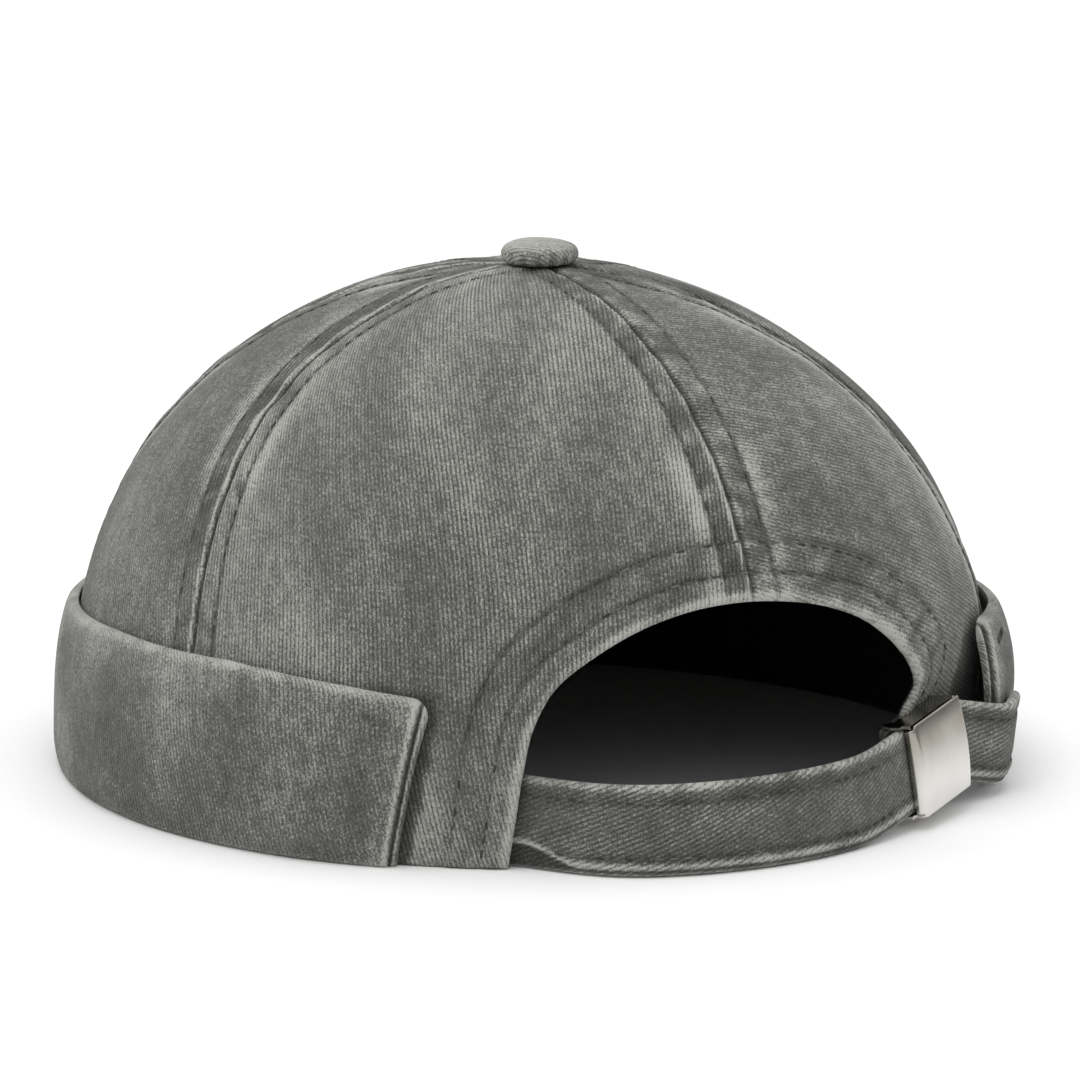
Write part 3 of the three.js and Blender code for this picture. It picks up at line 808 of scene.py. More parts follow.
def stitchRow(points, normals, seed, size=stitches):
    # little threads laid end to end along a line on the cloth
    pitch, long, thick = size["pitch"], size["long"], size["thick"]
    chance = np.random.default_rng(seed)
    run = lengthAlong(points)
    middles = np.arange(pitch / 2, run[-1] - pitch / 2, pitch)
    middles = middles + chance.uniform(-0.12, 0.12, len(middles))
    sides, rings = 6, 6
    centres, ups = sampleAt(middles, run, points), unit(sampleAt(middles, run, normals))
    forward = sampleAt(middles + long / 2, run, points) - sampleAt(middles - long / 2, run, points)
    forward = unit(forward - ups * np.sum(forward * ups, -1, keepdims=True))
    forward = unit(forward + np.cross(ups, forward) * chance.normal(0, 0.05, (len(middles), 1)))
    aside = np.cross(ups, forward)
    t = np.linspace(-1, 1, rings)
    bulge = np.sqrt(np.clip(1 - np.abs(t) ** 4, 0.02, 1))
    dip = -0.30 * t**4  # the ends go down into the cloth
    a = np.arange(sides) * 2 * math.pi / sides
    x = np.repeat(t * long / 2, sides)
    y = np.outer(bulge, np.cos(a)).ravel() * thick / 2
    z = (np.outer(bulge, np.sin(a)) * thick * 0.42 + dip[:, None]).ravel() + size["sink"]
    cloud = centres[:, None]
    for along, axis in ((x, forward), (y, aside), (z, ups)):
        cloud = cloud + along[None, :, None] * axis[:, None]
    starts = np.arange(len(middles))[:, None, None] * sides * rings
    body = (ringFaces(rings, sides) + starts).reshape(-1, 4)
    caps = np.stack([np.arange(sides)[::-1], np.arange(sides) + sides * (rings - 1)])
    return cloud.reshape(-1, 3), body.tolist() + (caps + starts).reshape(-1, sides).tolist()


def buildStitches(name, rows):
    points, faces, count = [], [], 0
    for rowPoints, rowFaces in rows:
        faces += [[index + count for index in face] for face in rowFaces]
        points.append(rowPoints)
        count += len(rowPoints)
    buildPiece(name, np.concatenate(points), faces, [thread])


meshing = {
    "spacing": 1.3,
    "nearEdge": [0.0, 0.3, 0.65, 1.05, 1.5, 2.1, 2.9, 3.8, 4.7, 5.2, 5.7, 6.2, 6.9],  # columns beside a seam
    "ringSteps": [  # rings beside the opening
        0.22, 0.5, 0.85, 1.2, 1.6, 2.1, 2.8, 3.6, 4.6, 5.4, 5.8,
        6.3, 7.2, 8.3, 9.5, 10.7, 11.5, 12.0, 12.4, 12.8, 13.4,
    ],
}
nearEdge = np.array(meshing["nearEdge"])


def gridPanel(gore):
    columns, rows = (int(size / meshing["spacing"]) for size in (gore.widths[0], gore.length))
    v = np.concatenate([[0.0, 0.4, 0.8], np.linspace(1.3, gore.length, rows)])[:, None]
    width = 2 * gore.half(v)
    near = np.minimum(nearEdge / width, np.arange(len(nearEdge)) / columns)
    between = np.linspace(0, 1, columns - 2 * len(nearEdge) + 2)[1:-1]
    left = near[:, -1:]
    u = (np.concatenate([near, mix(left, 1 - left, between), 1 - near[:, ::-1]], 1) - 0.5) * width
    return u.ravel(), np.broadcast_to(v, u.shape).ravel(), gridFaces(*u.shape)


def archPanel(gore):
    # the flat panel is meshed round the opening, with closer rings of points along the cut edge
    onLeft = gore.name == "back_left"
    side = -1 if onLeft else 1  # the foot lies on this side of the seam
    gap, steps = meshing["spacing"], meshing["ringSteps"]
    line = gore.flat(archAngles, archHeights)
    across = 0.5 - line[:, 0] / (2 * gore.half(line[:, 1]))
    line = line[across > 0][::-1] if onLeft else line[across < 1]  # from the hem up to the seam
    line = np.concatenate([line, [gore.flat(0, np.interp(0, archAngles, archHeights))]])
    run = lengthAlong(line)
    line = sampleAt(np.linspace(0, run[-1], int(run[-1] / 0.8)), run, line)
    foot, meet = line[0], line[-1]
    climb = np.linspace(meet[1], gore.length, int((gore.length - meet[1]) / gap))[1:]
    whole = np.linspace(gore.length, 0, int(gore.length / gap))
    corner = side * gore.half(0.0)
    hem = np.linspace(corner, foot[0], int(abs(corner - foot[0]) / gap))[1:-1]
    boundary = np.concatenate([
        line,
        np.stack([-side * gore.half(climb), climb], 1),
        np.stack([side * gore.half(whole), whole], 1),
        np.stack([hem, np.zeros(len(hem))], 1),
    ])
    outwards = leftOf(line) * -side
    rings = np.concatenate([line + outwards * step for step in steps])
    cloud = []
    for level in np.concatenate([[0.35, 0.8], np.arange(1.4, gore.length - 0.5, gap)]):
        width = 2 * gore.half(level)
        edge = nearEdge[1:][nearEdge[1:] < width / 2]
        even = np.linspace(edge[-1], width - edge[-1], max(2, int((width - 2 * edge[-1]) / gap)))[1:-1]
        spots = np.concatenate([edge, even, width - edge[::-1]]) - width / 2
        cloud.append(np.stack([spots, np.full(len(spots), level)], 1))
    cloud = np.concatenate(cloud)

    def clear(points, distance):
        u, v = points.T
        inside = (np.abs(u) < gore.half(v) - 0.2) & (v > 0.2) & (v < gore.length - 0.3)
        squared = ((points[:, None] - line[None, ::2]) ** 2).sum(-1)
        nearest = squared.argmin(1)
        signed = np.einsum("ij,ij->i", points - line[::2][nearest], outwards[::2][nearest])
        return inside & (np.sqrt(squared.min(1)) > distance) & (signed > 0)

    rings = rings[clear(rings, np.repeat(steps, len(line)) * 0.93)]
    inner = np.concatenate([rings, cloud[clear(cloud, steps[-1] + 0.6)]])
    cells = np.unique(np.round(inner / 0.3).astype(int), axis=0, return_index=True)[1]
    inner = inner[np.sort(cells)]  # no two points closer than a cell
    after = np.roll(boundary, -1, axis=0)
    if np.sum(boundary[:, 0] * after[:, 1] - boundary[:, 1] * after[:, 0]) < 0:
        boundary = boundary[::-1]
    places = [Vector(point) for point in np.concatenate([boundary, inner])]
    made = delaunay_2d_cdt(places, [], [list(range(len(boundary)))], 1, 1e-4)
    u, v = np.array(made[0]).T
    return u, v, np.array(made[2])


stitchedRows = []
for index in range(6):
    gore = Gore(index)
    u, v, faces = archPanel(gore) if gore.back else gridPanel(gore)
    outer, inner, _, fadeAndShading = gore.surface(u, v)
    points, allFaces, inside = closeSheet(outer, inner, faces)
    lean, swing = panels[gore.name]
    below = np.clip(weave["swingBelow"] - v, 0, None)
    above = np.clip(v - weave["uprightAbove"], 0, None) if gore.name == "back_left" else 0
    swung = u - swing * below**2 / (2 * weave["swingBelow"]) + weave["upright"] * above**2
    panel = buildPiece(
        "crown_" + gore.name,
        points,
        allFaces,
        [outsideCloth if gore.name in ("back_left", "side_right") else faintCloth, shadedInsideCloth],
        slant(swung, v, lean) + index * weave["apart"],
        # the inside copy a little darker still, painted shade
        np.concatenate([fadeAndShading, fadeAndShading * 0.8]),
        inside,
    )
    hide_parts("panel_" + gore.name)
    lines = []  # of topstitching: places on the flat panel, seed
    climb = np.arange(2.0, gore.length - 4.5, 0.5)
    climb = climb[2 * gore.half(climb) > 2 * seams["stitchAway"] + 1.5]
    for side in (-1, 1):  # either side of the panel, beside its seams
        row = np.stack([side * (gore.half(climb) - seams["stitchAway"]), climb], 1)
        lines.append((row[gore.clearOf(*row.T, 3.6)] if gore.back else row, 10 * index + side + 2))
    if gore.back:
        edge = gore.flat(archAngles, archHeights)
        for number, away in enumerate(arch["rows"]):
            row = edge - leftOf(edge) * away
            row = row[(np.abs(row[:, 0]) < gore.half(row[:, 1])) & (row[:, 1] > 1.5)]
            lines.append((row[gore.clearOf(*row.T, 0.9 * away)], 90 + number + 2 * index))
    for row, seed in lines:
        outer, _, normal, _ = gore.surface(*row.T)
        stitchedRows.append(stitchRow(outer, normal, seed))
    print("panel", gore.name, len(points), "points")
buildStitches("crown_topstitching", stitchedRows)

# Cuff

cuffFadeAndShading = {
    "base": 0.37,
    "swell": 0.10,
    "rim": 0.40,
    "underRim": 0.12,
    "foot": 0.22,
    "endFold": 0.50,
    "besideFold": 0.20,
    "underLayer": 0.42,
    # painted shade in the crease between the two layers at the cuff's ends
    "betweenLayers": 0.60,
    "patches": 0.10,
    "streaks": 0.05,
}
tack = {"fromEnd": 8.4, "level": 0.685, "long": 7.4, "drop": 0.0156, "rows": 3, "apart": 0.008}


def cuffPoint(share, level, outer):
    # share runs from the right end to the left one; level runs up the cuff's own table
    curve = spline(cuff["outer" if outer else "inner"], 200)
    tall, lean, thick = sampleAt(np.clip(level, 0, 1) * 199, np.arange(200), curve).T
    slanted = cuff["slant"] * (1 - tall)
    angle = mix(360 - cuff["right"] - slanted, cuff["left"] + slanted, share)
    distance = cuffLong * np.minimum(share, 1 - share)  # from the nearer end
    puff = np.interp(angle, *zip(*cuff["stands"]))
    rim = cuff["height"] * np.interp(angle, *zip(*cuff["rim"]))
    corner = cuff["corner"]
    cut = corner - np.sqrt(corner**2 - np.clip(corner - distance, 0, corner) ** 2)
    height = tall * (rim - cut * smooth(tall, 0.5, 1))
    base = smoothCrown(angle, height)
    swell = rough(*(base / (27, 27, 22) + (0, 0, 7)).T) * cuff["bulge"]
    swell += rough(*(base / (9, 9, 14) + (0, 0, 3)).T) * cuff["wrinkle"]
    swell *= smooth(tall, 0.0, 0.15) * smooth(distance, 2, 12)
    fromFold = distance - cuff["layer"]
    outward = cuff["gap"] + lean * puff
    if outer:
        under = 0.5 * roll(distance, 0.6) - 0.12 * hump(fromFold, 0, 0.3)
        thickness = np.clip(thick, 0, None) * cuff["thick"] * (under + 0.5 * roll(fromFold, 1.3))
        outward = outward + np.maximum(thickness, 0.03) + swell
    else:
        outward = outward + swell * 0.4
    outward = np.maximum(outward, cuff["gap"])
    lift = cuff["lifted"] * (1 - smooth(cuffLong * share, 7, 18)) * (1 - tall)  # behind the strap's tail
    point = besideCrown(angle, height, outward, np.maximum(height, 0.02) + lift)
    fadeAndShading = cuffFadeAndShading["base"] + cuffFadeAndShading["swell"] * swell + cuffFadeAndShading["foot"] * hump(tall, 0, 0.03)
    fadeAndShading += cuffFadeAndShading["rim"] * hump(tall, 1, 0.035) * (0.8 + 0.5 * rough(angle / 3, 1.0))
    fadeAndShading += cuffFadeAndShading["underRim"] * smooth(tall, 0.74, 0.95)
    fadeAndShading += cuffFadeAndShading["endFold"] * hump(fromFold, 0.8, 0.7) + cuffFadeAndShading["besideFold"] * hump(fromFold, 3, 2.2)
    # the under layer's edge is paler; the crease between the layers gets painted shade
    fadeAndShading += cuffFadeAndShading["underLayer"] * hump(distance, 0.5, 0.3) - cuffFadeAndShading["betweenLayers"] * hump(fromFold, 0, 0.3)
    fadeAndShading += cuffFadeAndShading["patches"] * rough(angle / 9, point[:, 2] / 13, 2.0)
    fadeAndShading += cuffFadeAndShading["streaks"] * rough(angle / 3, point[:, 2] / 20, 4.0)
    return point, angle, fadeAndShading


endSteps = np.array([0, 0.15, 0.3, 0.5, 0.7, 0.9, 1.05, 1.15, 1.25, 1.4, 1.65, 1.95, 2.3, 2.8, 3.5, 4.4, 5.4]) / cuffLong
levels = np.concatenate([np.linspace(0, 0.35, 14), np.linspace(0.35, 0.72, 24)[1:], np.linspace(0.72, 1, 20)[1:]])
shareGrid, levelGrid = np.meshgrid(denseEnds(endSteps[:-1], endSteps[-1], 350), levels)
outer, _, fadeAndShading = cuffPoint(shareGrid.ravel(), levelGrid.ravel(), True)
inner, _, _ = cuffPoint(shareGrid.ravel(), levelGrid.ravel(), False)
points, faces, _ = closeSheet(outer, inner, gridFaces(*shareGrid.shape))
grid = outer.reshape(*shareGrid.shape, 3)
runs = lengthAlong(grid, 1)
runs = runs - runs[:, -1:] + runs[25, -1]
place = slant(runs.ravel(), lengthAlong(grid).ravel(), cuff["ribs"])
cuffPiece = buildPiece("cuff_turned_up", points, faces, [faintCloth], place, fadeAndShading)
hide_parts("cuff")

# bar tacks that hold the cuff's corners up
tacks = []
across = np.linspace(-1, 1, 60)
reach = (tack["fromEnd"] - across * tack["long"] / 2) / cuffLong
for at in (1 - reach, reach):
    for row in range(tack["rows"]):
        level = tack["level"] - tack["drop"] * across - tack["apart"] * row
        spot, angle, _ = cuffPoint(at, level, True)
        tacks.append(stitchRow(spot, crownNormal(angle, np.full(60, 28.0)), 300 + row, tackStitches))
buildStitches("cuff_bar_tacks", tacks)
print("cuff ready")

# Strap

strap = {
    "tall": 18.2,
    "thick": 2.2,
    "bow": 9.4,
    "rise": 2.4,
    "rowAway": 3.5,
    "edge": 1.1,
    "split": 1.15,  # of the outer layer's lower edge above the inner one's
    "leaves": 17,  # run where it comes out from under the left leg
    "ribs": -66,
    "pucker": 0.16,
    "groove": 0.24,
    "raised": 0.10,
    "lip": 0.10,
    "underLayer": 0.34,
    "start": [  # angle, inside, over, bow, rise, height, tilt
        (41, 1, 0, 0, 0.2, 1, 0), (36, 1, 0, 0, 0.2, 1, 0), (31.5, 1, 0, 0, 0.2, 1, 0),
        (27.5, 0, 0, 0, 0.17, 1, 0), (24, 0, 0, 0.36, 0.15, 1, 0), (20, 0, 0, 0.72, 0.15, 1, 0),
        (15, 0, 0, 0.95, 0.15, 1, 0), (9, 0, 0, 1, 0.15, 1, 0), (2, 0, 0, 0.93, 0.15, 1, 0.1),
        (-6, 0, 0, 0.76, 0.15, 1, 0.3), (-14, 0, 0, 0.52, 0.25, 1, 0.6),
    ],
    "tail": [
        (-45.2, 0, 1, 0.06, 1.1, 0.92, -0.3), (-48.5, 0, 1, 0.09, 1.1, 0.92, -0.5), (-52, 0, 1, 0.09, 1.1, 0.92, -0.5),
    ],
}
strapFadeAndShading = {
    "base": 0.27,
    "pucker": 0.16,
    "groove": 0.16,
    "edge": 0.42,
    "patches": 0.10,
    "streaks": 0.08,
    "end": 0.28,
    "lip": 0.5,
    # painted shade on the under layer along the lower edge, and more where the strap comes out from under the left leg
    "underLayer": 0.50,
    "shadeUnderLeg": 0.30,
}
buckle = {
    "angle": -29.4,
    "turn": -5.4,
    "tilt": 6.6,
    "roll": 5.7,
    "above": 12.9,  # the middle over the floor
    "long": 22.2,
    "wall": 0.6,
    "squeeze": 0.95,
    "hingeInset": 1.6,
    "pin": 0.4,
    "gap": 0.3,
    "barrel": 0.4,
    "bow": 0.8,
    "curl": 250,  # degrees round the pin where the cover's curl ends
    "bar": 0.5,
    "barInset": 2.2,
    "straight": 1.5,  # of the strap before the buckle
    "tab": 0.8,
    "tabAngles": (-27, -31, -35),
    "tabRibs": 30,
}


def turnedAbout(vector, axis, degrees):
    return np.array(Matrix.Rotation(math.radians(degrees), 3, Vector(axis)) @ Vector(vector))


faced = turnedAbout(crownNormal(buckle["angle"], 0.0), (0, 0, 1), -buckle["turn"])
buckleAlong = unit(np.array([-faced[1], faced[0], 0]))
buckleOut = turnedAbout(-np.array([-buckleAlong[1], buckleAlong[0], 0]), buckleAlong, -buckle["tilt"])
buckleAlong = turnedAbout(buckleAlong, buckleOut, buckle["roll"])
buckleUp = np.cross(buckleOut, buckleAlong)
squeezed = strap["tall"] * buckle["squeeze"]
buckleMiddle = besideCrown(buckle["angle"], 0.0, 0.0, buckle["above"])


def strapSection(row):
    # foot and head of the strap at one place
    angle, within, over, bow, rise, tall, tilt = row
    seatInside = -(crown["cloth"] + 0.3 + strap["thick"] / 2)
    seatOver = 0.6 + cuff["thick"] + cuff["stands"][-1][1] + strap["thick"] / 2
    outward = within * seatInside + over * seatOver + bow * strap["bow"]
    height, rise = tall * strap["tall"], rise * strap["rise"]
    lean = height / 2 * math.sin(math.radians(tilt * buckle["tilt"]))
    foot = besideCrown(angle, over * rise, outward + lean, rise)
    return foot, besideCrown(angle, over * (rise + height), outward - lean, rise + height)


def buckleSection(reach):
    middle, half = buckleMiddle + buckleAlong * reach, buckleUp * squeezed / 2
    return middle - half, middle + half


def centripetal(points, samples):
    # the same curve through the sections that the CAD part's strap follows
    result = []
    for t in np.linspace(0, len(points) - 1, samples):
        k = min(int(t), len(points) - 2)
        w = t - k
        p1, p2 = points[k], points[k + 1]
        p0 = points[k - 1] if k > 0 else 2 * p1 - p2
        p3 = points[k + 2] if k + 2 < len(points) else 2 * p2 - p1
        d0, d1, d2 = (max(np.sum((b - a) ** 2) ** 0.25, 1e-4) for a, b in ((p0, p1), (p1, p2), (p2, p3)))
        t1 = ((p1 - p0) / d0 - (p2 - p0) / (d0 + d1) + (p2 - p1) / d1) * d1
        t2 = ((p2 - p1) / d1 - (p3 - p1) / (d1 + d2) + (p3 - p2) / d2) * d1
        square, cube = -3 * p1 + 3 * p2 - 2 * t1 - t2, 2 * p1 - 2 * p2 + t1 + t2
        result.append(p1 + t1 * w + square * w**2 + cube * w**3)
    return np.array(result)


halfLong = buckle["long"] / 2
inBuckle = [buckleSection(reach) for reach in (-halfLong - buckle["straight"], -halfLong / 2, halfLong / 2, halfLong)]
sections = [strapSection(row) for row in strap["start"]] + inBuckle + [strapSection(row) for row in strap["tail"]]
footLine, headLine = (centripetal(line, 700) for line in zip(*sections))
middleLine = (footLine + headLine) / 2
strapRun = lengthAlong(middleLine)
strapLength = strapRun[-1]
heldFrom, heldTo = (
    strapRun[np.argmin(np.linalg.norm(middleLine - (foot + head) / 2, axis=1))]
    for foot, head in (inBuckle[0], inBuckle[-1])
)


def strapPoint(run, across, outer):
    # across runs from the lower edge, 0, to the upper one, 1
    foot, head = sampleAt(run, strapRun, footLine), sampleAt(run, strapRun, headLine)
    forward = sampleAt(run + 0.5, strapRun, middleLine) - sampleAt(run - 0.5, strapRun, middleLine)
    upright = head - foot
    tall = np.linalg.norm(upright, axis=-1)
    out = unit(np.cross(upright, forward))
    out = np.where((out * foot).sum(-1, keepdims=True) < 0, -out, out)
    edge = np.minimum(across, 1 - across) * tall
    end = np.minimum(run, strapLength - run)
    free = 1 - plateau(run, heldFrom - 4, heldFrom, heldTo, heldTo + 4)
    groove = hump(edge, strap["rowAway"], 0.7)
    pucker = rough(run / 3.3, across * 2.0, np.where(across > 0.5, 4.0, 8.0)) * hump(edge, 0, 4.0)
    fromFoot = across * tall
    leaves = strap["leaves"]
    split = strap["split"] + 3.2 * (1 - smooth(run, leaves, leaves + 13))  # the outer layer's lower edge
    under = 1 - smooth(fromFoot, split - 0.2, split + 0.25)
    lip = hump(fromFoot, split + 0.8, 0.6) * mix(1.5, 1.0, smooth(run, leaves, leaves + 16))
    wave = rough(run / 16.0, across * 1.4, 6.0) * 0.32 + rough(run / 7.0, across * 2.5, 1.0) * 0.10
    turned = np.minimum(roll(edge, strap["edge"]), roll(end, 1.2))
    half = strap["thick"] / 2 * (0.12 + 0.88 * turned)
    relief = strap["pucker"] * pucker - strap["groove"] * groove + strap["raised"]
    relief = (relief - strap["underLayer"] * under + strap["lip"] * lip) * turned * free
    drift = wave * free * smooth(run, 28, 40)
    offset = half + relief + drift if outer else -half + drift
    point = foot + upright * across[:, None] + out * offset[:, None]
    point[:, 2] = np.maximum(point[:, 2], 0.08)
    fadeAndShading = strapFadeAndShading["base"] + strapFadeAndShading["pucker"] * pucker - strapFadeAndShading["groove"] * groove
    fadeAndShading += strapFadeAndShading["edge"] * (1 - smooth(edge, 0.5, 1.9)) + strapFadeAndShading["end"] * (1 - smooth(end, 0.3, 1.4))
    fadeAndShading += strapFadeAndShading["patches"] * rough(run / 11, across * 1.8, 12.0)
    fadeAndShading += strapFadeAndShading["streaks"] * rough(run / 30, across * 3.5, 15.0) + strapFadeAndShading["lip"] * lip
    # painted shade on the under layer, and more where it comes out from under the left leg
    fadeAndShading -= strapFadeAndShading["underLayer"] * under * smooth(fromFoot, 0.25, 0.6)
    fadeAndShading -= strapFadeAndShading["shadeUnderLeg"] * under * (1 - smooth(run, leaves, leaves + 22))
    return point, out, fadeAndShading


runs = denseEnds([0, 0.4, 0.8], 1.3, int(strapLength / 1.15), strapLength)
lowSteps = [0, 0.2, 0.5, 0.8, 1.0, 1.15, 1.3, 1.5, 1.8, 2.1, 2.5, 3, 3.5, 4, 4.3, 4.6, 5, 5.5]  # finer at the split
highSteps = [0.915, 0.945, 0.97, 0.988, 1]
acrosses = np.concatenate([np.array(lowSteps) / strap["tall"], np.linspace(0.34, 0.88, 14), highSteps])
run, across = (values.ravel() for values in np.meshgrid(runs, acrosses))
outer, _, fadeAndShading = strapPoint(run, across, True)
inner, _, _ = strapPoint(run, across, False)
points, faces, _ = closeSheet(outer, inner, gridFaces(len(acrosses), len(runs)))
place = slant(run, across * strap["tall"], strap["ribs"])
strapPiece = buildPiece("strap_webbing", points, faces, [outsideCloth], place, fadeAndShading)
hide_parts("strap")
rows = []
line = np.arange(24, strapLength - 2.5, 0.4)
before, beyond = line[line < heldFrom - 1], line[line > heldFrom + buckle["hingeInset"] + 3.4]
for number, away in enumerate((strap["rowAway"], strap["tall"] - strap["rowAway"])):
    for part, outside in ((before, True), (beyond, True), (before, False)):  # none under the hinge pin
        spot, out, _ = strapPoint(part, np.full(len(part), away / strap["tall"]), outside)
        rows.append(stitchRow(spot, out if outside else -out, 400 + number, strapStitches))
buildStitches("strap_topstitching", rows)
print("strap ready", round(strapLength, 1))

# Buckle, in its own axes: along the strap, outward and up

strapFace = strap["thick"] / 2
pinAlong = -halfLong + buckle["hingeInset"]
pinOut = strapFace + buckle["gap"] + (buckle["pin"] + buckle["gap"] + buckle["barrel"])
barAlong = -halfLong + buckle["barInset"]
barOut = -(strapFace + buckle["gap"] + (buckle["bar"] + buckle["gap"] + buckle["tab"]))
insideTall = squeezed + 2 * buckle["gap"]
buckleTall = insideTall + 2 * buckle["wall"]


def inBuckleAxes(along, out, up):
    return buckleMiddle + along[:, None] * buckleAlong + out[:, None] * buckleOut + up[:, None] * buckleUp


def leverPlate():
    # bowed cover with rounded edges, its start curled round the hinge pin between the cheeks
    middle = buckle["pin"] + buckle["gap"] + buckle["wall"] / 2
    curl = np.radians(np.linspace(buckle["curl"], 90, 26))
    reach = halfLong + buckle["gap"] - pinAlong
    ahead = np.concatenate([np.linspace(0, reach - 1.1, 26)[1:], reach - np.array([0.6, 0.3, 0.12, 0])])
    curled = np.stack([middle * np.cos(curl), middle * np.sin(curl)], 1)
    line = np.concatenate([curled, np.stack([ahead, np.full(len(ahead), middle)], 1)])
    normal, run = leftOf(line), lengthAlong(line)
    onCurl = np.concatenate([smooth(curl, math.radians(100), math.radians(135)), np.zeros(len(ahead))])
    bowed = np.concatenate([smooth(curl, math.radians(190), math.radians(90)), np.ones(len(ahead))])
    half = mix(buckleTall / 2, insideTall / 2 - buckle["gap"], onCurl)
    levels = denseEnds([0, 0.007, 0.017, 0.034], 0.06, 22)
    column, level = (values.ravel() for values in np.meshgrid(np.arange(len(line)), levels))
    up = (2 * level - 1) * half[column]
    edge = np.minimum(np.minimum(run[column], run[-1] - run[column]), half[column] - np.abs(up))
    thin = buckle["wall"] * (0.35 + 0.65 * roll(edge, 0.45))
    bow = buckle["bow"] * (1 - (2 * level - 1) ** 2) * bowed[column]

    def face(side):
        flat = line[column] + normal[column] * (side * thin / 2)[:, None]
        return inBuckleAxes(pinAlong + flat[:, 0], pinOut + flat[:, 1] + bow, up)

    return closeSheet(face(1), face(-1), gridFaces(len(levels), len(line)))


points, faces, _ = leverPlate()
lever = buildPiece("buckle_cover_plate", points, faces, [nickel], body="lever")
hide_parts("buckle_lever")
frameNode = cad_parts["buckle_frame"]
frameNode.data.materials.clear()
frameNode.data.materials.append(nickel)


def tabLoop():
    # one strip of cloth from inside the leg, round the bar and back
    ends = []
    for angle in buckle["tabAngles"]:
        inward = buckle["gap"] + buckle["tab"] - dentPress(angle, dents[0][2] * crown["height"])
        spot = besideCrown(angle, buckleMiddle[2], inward, buckleMiddle[2]) - buckleMiddle
        ends.append((spot @ buckleAlong, spot @ buckleOut))
    ends = np.array(ends)
    radius = buckle["bar"] + buckle["gap"] + buckle["tab"] / 2
    turns = math.atan2(ends[0][1] - barOut, ends[0][0] - barAlong) + np.linspace(0.75, 2 * math.pi - 0.75, 26)
    loop = np.stack([barAlong + radius * np.cos(turns), barOut + radius * np.sin(turns)], 1)
    apart = (0, 0.5 * buckle["tab"] + 0.04)
    line = np.concatenate([ends[::-1] + apart, loop, ends - apart])
    run = lengthAlong(line)
    at = np.linspace(0, run[-1], 90)
    return sampleAt(at, run, line), at


line, at = tabLoop()
aside = leftOf(line)
tabTall = insideTall - 2 * buckle["gap"]
levels = denseEnds([0, 0.02, 0.05, 0.1], 0.16, 12)
level, column = (values.ravel() for values in np.meshgrid(levels, np.arange(len(at)), indexing="ij"))
edge = np.minimum(level, 1 - level) * tabTall
half = buckle["tab"] / 2 * (0.2 + 0.8 * roll(edge, 0.6)) + 0.03 * rough(at[column] / 1.5, level * 8, 3.0)


def tabFace(sign):
    flat = line[column] + aside[column] * (sign * half)[:, None]
    return inBuckleAxes(*flat.T, (level - 0.5) * tabTall)


points, faces, _ = closeSheet(tabFace(-1), tabFace(1), gridFaces(len(levels), len(at)))
place = slant(at[column], level * tabTall, buckle["tabRibs"])
fadeAndShading = 0.12 + 0.10 * (1 - smooth(edge, 0.3, 1.2)) + 0.08 * rough(at[column] / 3, level * 5, 2.0)
tabPiece = buildPiece("buckle_cloth_tab", points, faces, [outsideCloth], place, fadeAndShading)
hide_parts("buckle_tab")
print("buckle ready")

# Covered button

button = {
    "radius": 7.9,
    "height": 4.4,
    "above": 0.3,  # over the crown's apex
    "gathers": 17,
    "gather": 0.22,
    "ribs": 40,
    "profile": [
        (0.80, 0.0), (0.90, 0.02), (0.97, 0.12), (1.0, 0.30), (0.985, 0.50), (0.92, 0.70),
        (0.78, 0.85), (0.58, 0.94), (0.34, 0.985), (0.14, 1.0), (0.0, 1.0),
    ],
    "fadeAndShading": 0.62,
    "topFade": 0.18,
    "foldFade": 0.14,
    "footFade": 0.16,
}


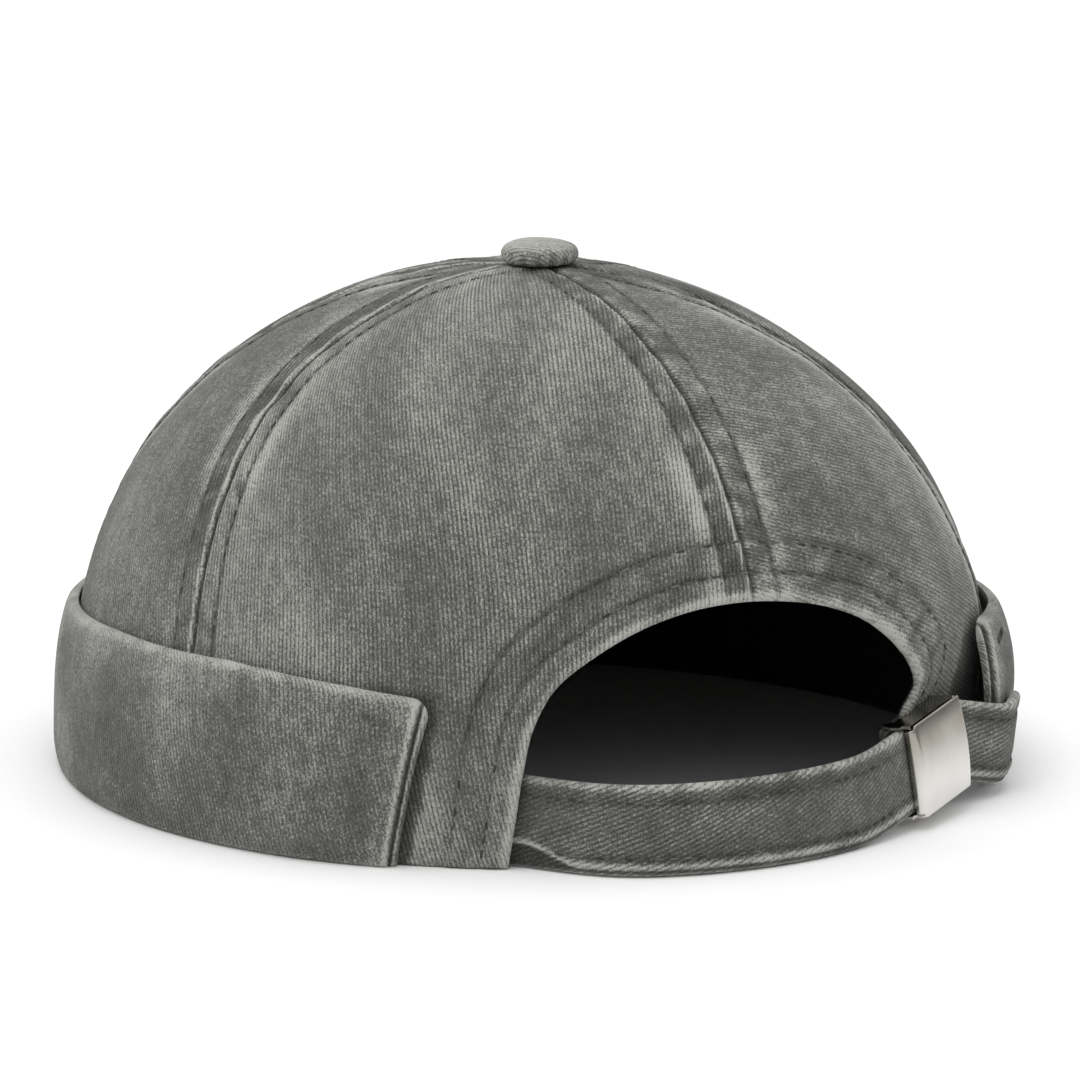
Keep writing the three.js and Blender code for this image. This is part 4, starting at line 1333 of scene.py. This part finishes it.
def buttonDome():
    profile = spline(button["profile"], 40)
    turns = np.linspace(0, 2 * math.pi, 121)[:-1]
    level, turn = np.meshgrid(np.arange(len(profile) - 1), turns, indexing="ij")
    radius, height = profile[level, 0], profile[level, 1]
    cos, sin = np.cos(turn), np.sin(turn)
    folds = np.sin(turn * button["gathers"] + 1.7 * rough(turn * 1.6, 2.0)) * (0.6 + 0.5 * rough(turn * 2.2, 9.0))
    gather = (1 - smooth(height, 0.25, 0.85)) * button["gather"]
    reach = radius * button["radius"] - np.abs(gather) * (0.5 - 0.5 * folds)
    dimples = rough(cos * radius * 2, sin * radius * 2, 5.0) * smooth(height, 0.3, 0.8)
    lift = height * button["height"] - 0.10 * smooth(height, 0.9, 1.0) + 0.12 * dimples
    x, y = reach * cos, reach * sin
    rings, sides = turn.shape
    count = rings * sides
    points = np.stack([x, y, np.maximum(lift, 0)], -1).reshape(-1, 3)
    points = np.concatenate([points, [[0, 0, button["height"] - 0.1], [0, 0, 0]]])  # middle of the top and the bottom
    points = points + (crown["leanX"], crown["leanY"], crown["height"] + button["above"])
    faces = ringFaces(rings, sides).tolist()
    for side in range(sides):
        after, last = (side + 1) % sides, count - sides
        faces += [[last + side, last + after, count], [after, side, count + 1]]
    # the cloth is pulled down over the edge, so its ribs bend round with it
    sizes = profile * (button["radius"], button["height"])
    arc = lengthAlong(sizes[::-1])[::-1][level]
    u, v = (np.append((arc * part).ravel(), [0, 0]) for part in (cos, sin))
    fadeAndShading = button["fadeAndShading"] + button["topFade"] * smooth(height, 0.55, 0.95) + 0.05 * rough(x / 3, y / 3, 4.0)
    fadeAndShading += button["foldFade"] * folds * (1 - smooth(height, 0.25, 0.8))
    fadeAndShading -= button["footFade"] * (1 - smooth(height, 0.0, 0.25))
    return points, faces, slant(u, v, button["ribs"]), np.append(fadeAndShading.ravel(), [0.6, 0.3])


points, faces, place, fadeAndShading = buttonDome()
buttonPiece = buildPiece("button_cloth_cover", points, faces, [outsideCloth], place, fadeAndShading)
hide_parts("top_button")
print("button ready")

# Floor and light

studio = {"floor": (0.94, 0.94, 0.94, 1), "sky": 1.12, "horizon": 0.28, "key": 7.2, "fill": 0.9}


def makeFloor():
    mesh = bpy.data.meshes.new("floor")
    mesh.from_pydata([(-9, -9, 0), (9, -9, 0), (9, 9, 0), (-9, 9, 0)], [], [(0, 1, 2, 3)])
    floor = bpy.data.objects.new("floor", mesh)
    bpy.context.scene.collection.objects.link(floor)
    material, tree, shader = startMaterial("paleFloor")
    fillNode(tree, shader, {"Base Color": studio["floor"], "Roughness": 0.9, "Specular IOR Level": 0.0})
    mesh.materials.append(material)


def makeWorld():
    # paler overhead than at the horizon
    world = bpy.data.worlds.new("studio")
    bpy.context.scene.world = world
    world.use_nodes = True
    tree = world.node_tree
    direction = addNode(tree, "TexCoord").outputs["Generated"]
    up = addNode(tree, "SeparateXYZ", {0: direction}).outputs[2]
    level = addNode(
        tree,
        "MapRange",
        {"Value": up, "From Min": 0.0, "From Max": 0.6, "To Min": studio["horizon"], "To Max": studio["sky"]},
        interpolation_type="SMOOTHSTEP",
    )
    fillNode(tree, tree.nodes["Background"], {"Color": (1, 1, 1, 1), "Strength": level.outputs[0]})


def areaLight(name, place, size, power):
    light = bpy.data.lights.new(name, "AREA")
    light.shape = "DISK"
    light.size = size
    light.energy = power
    lamp = bpy.data.objects.new(name, light)
    bpy.context.scene.collection.objects.link(lamp)
    lamp.location = place
    lamp.rotation_euler = (Vector((0, 0, 0.05)) - Vector(place)).to_track_quat("-Z", "Y").to_euler()


makeFloor()
makeWorld()
areaLight("overheadSoftbox", (0.5, 0.4, 1.6), 1.2, studio["key"])
areaLight("cameraSideFill", (1.5, 1.3, 0.9), 1.0, studio["fill"])
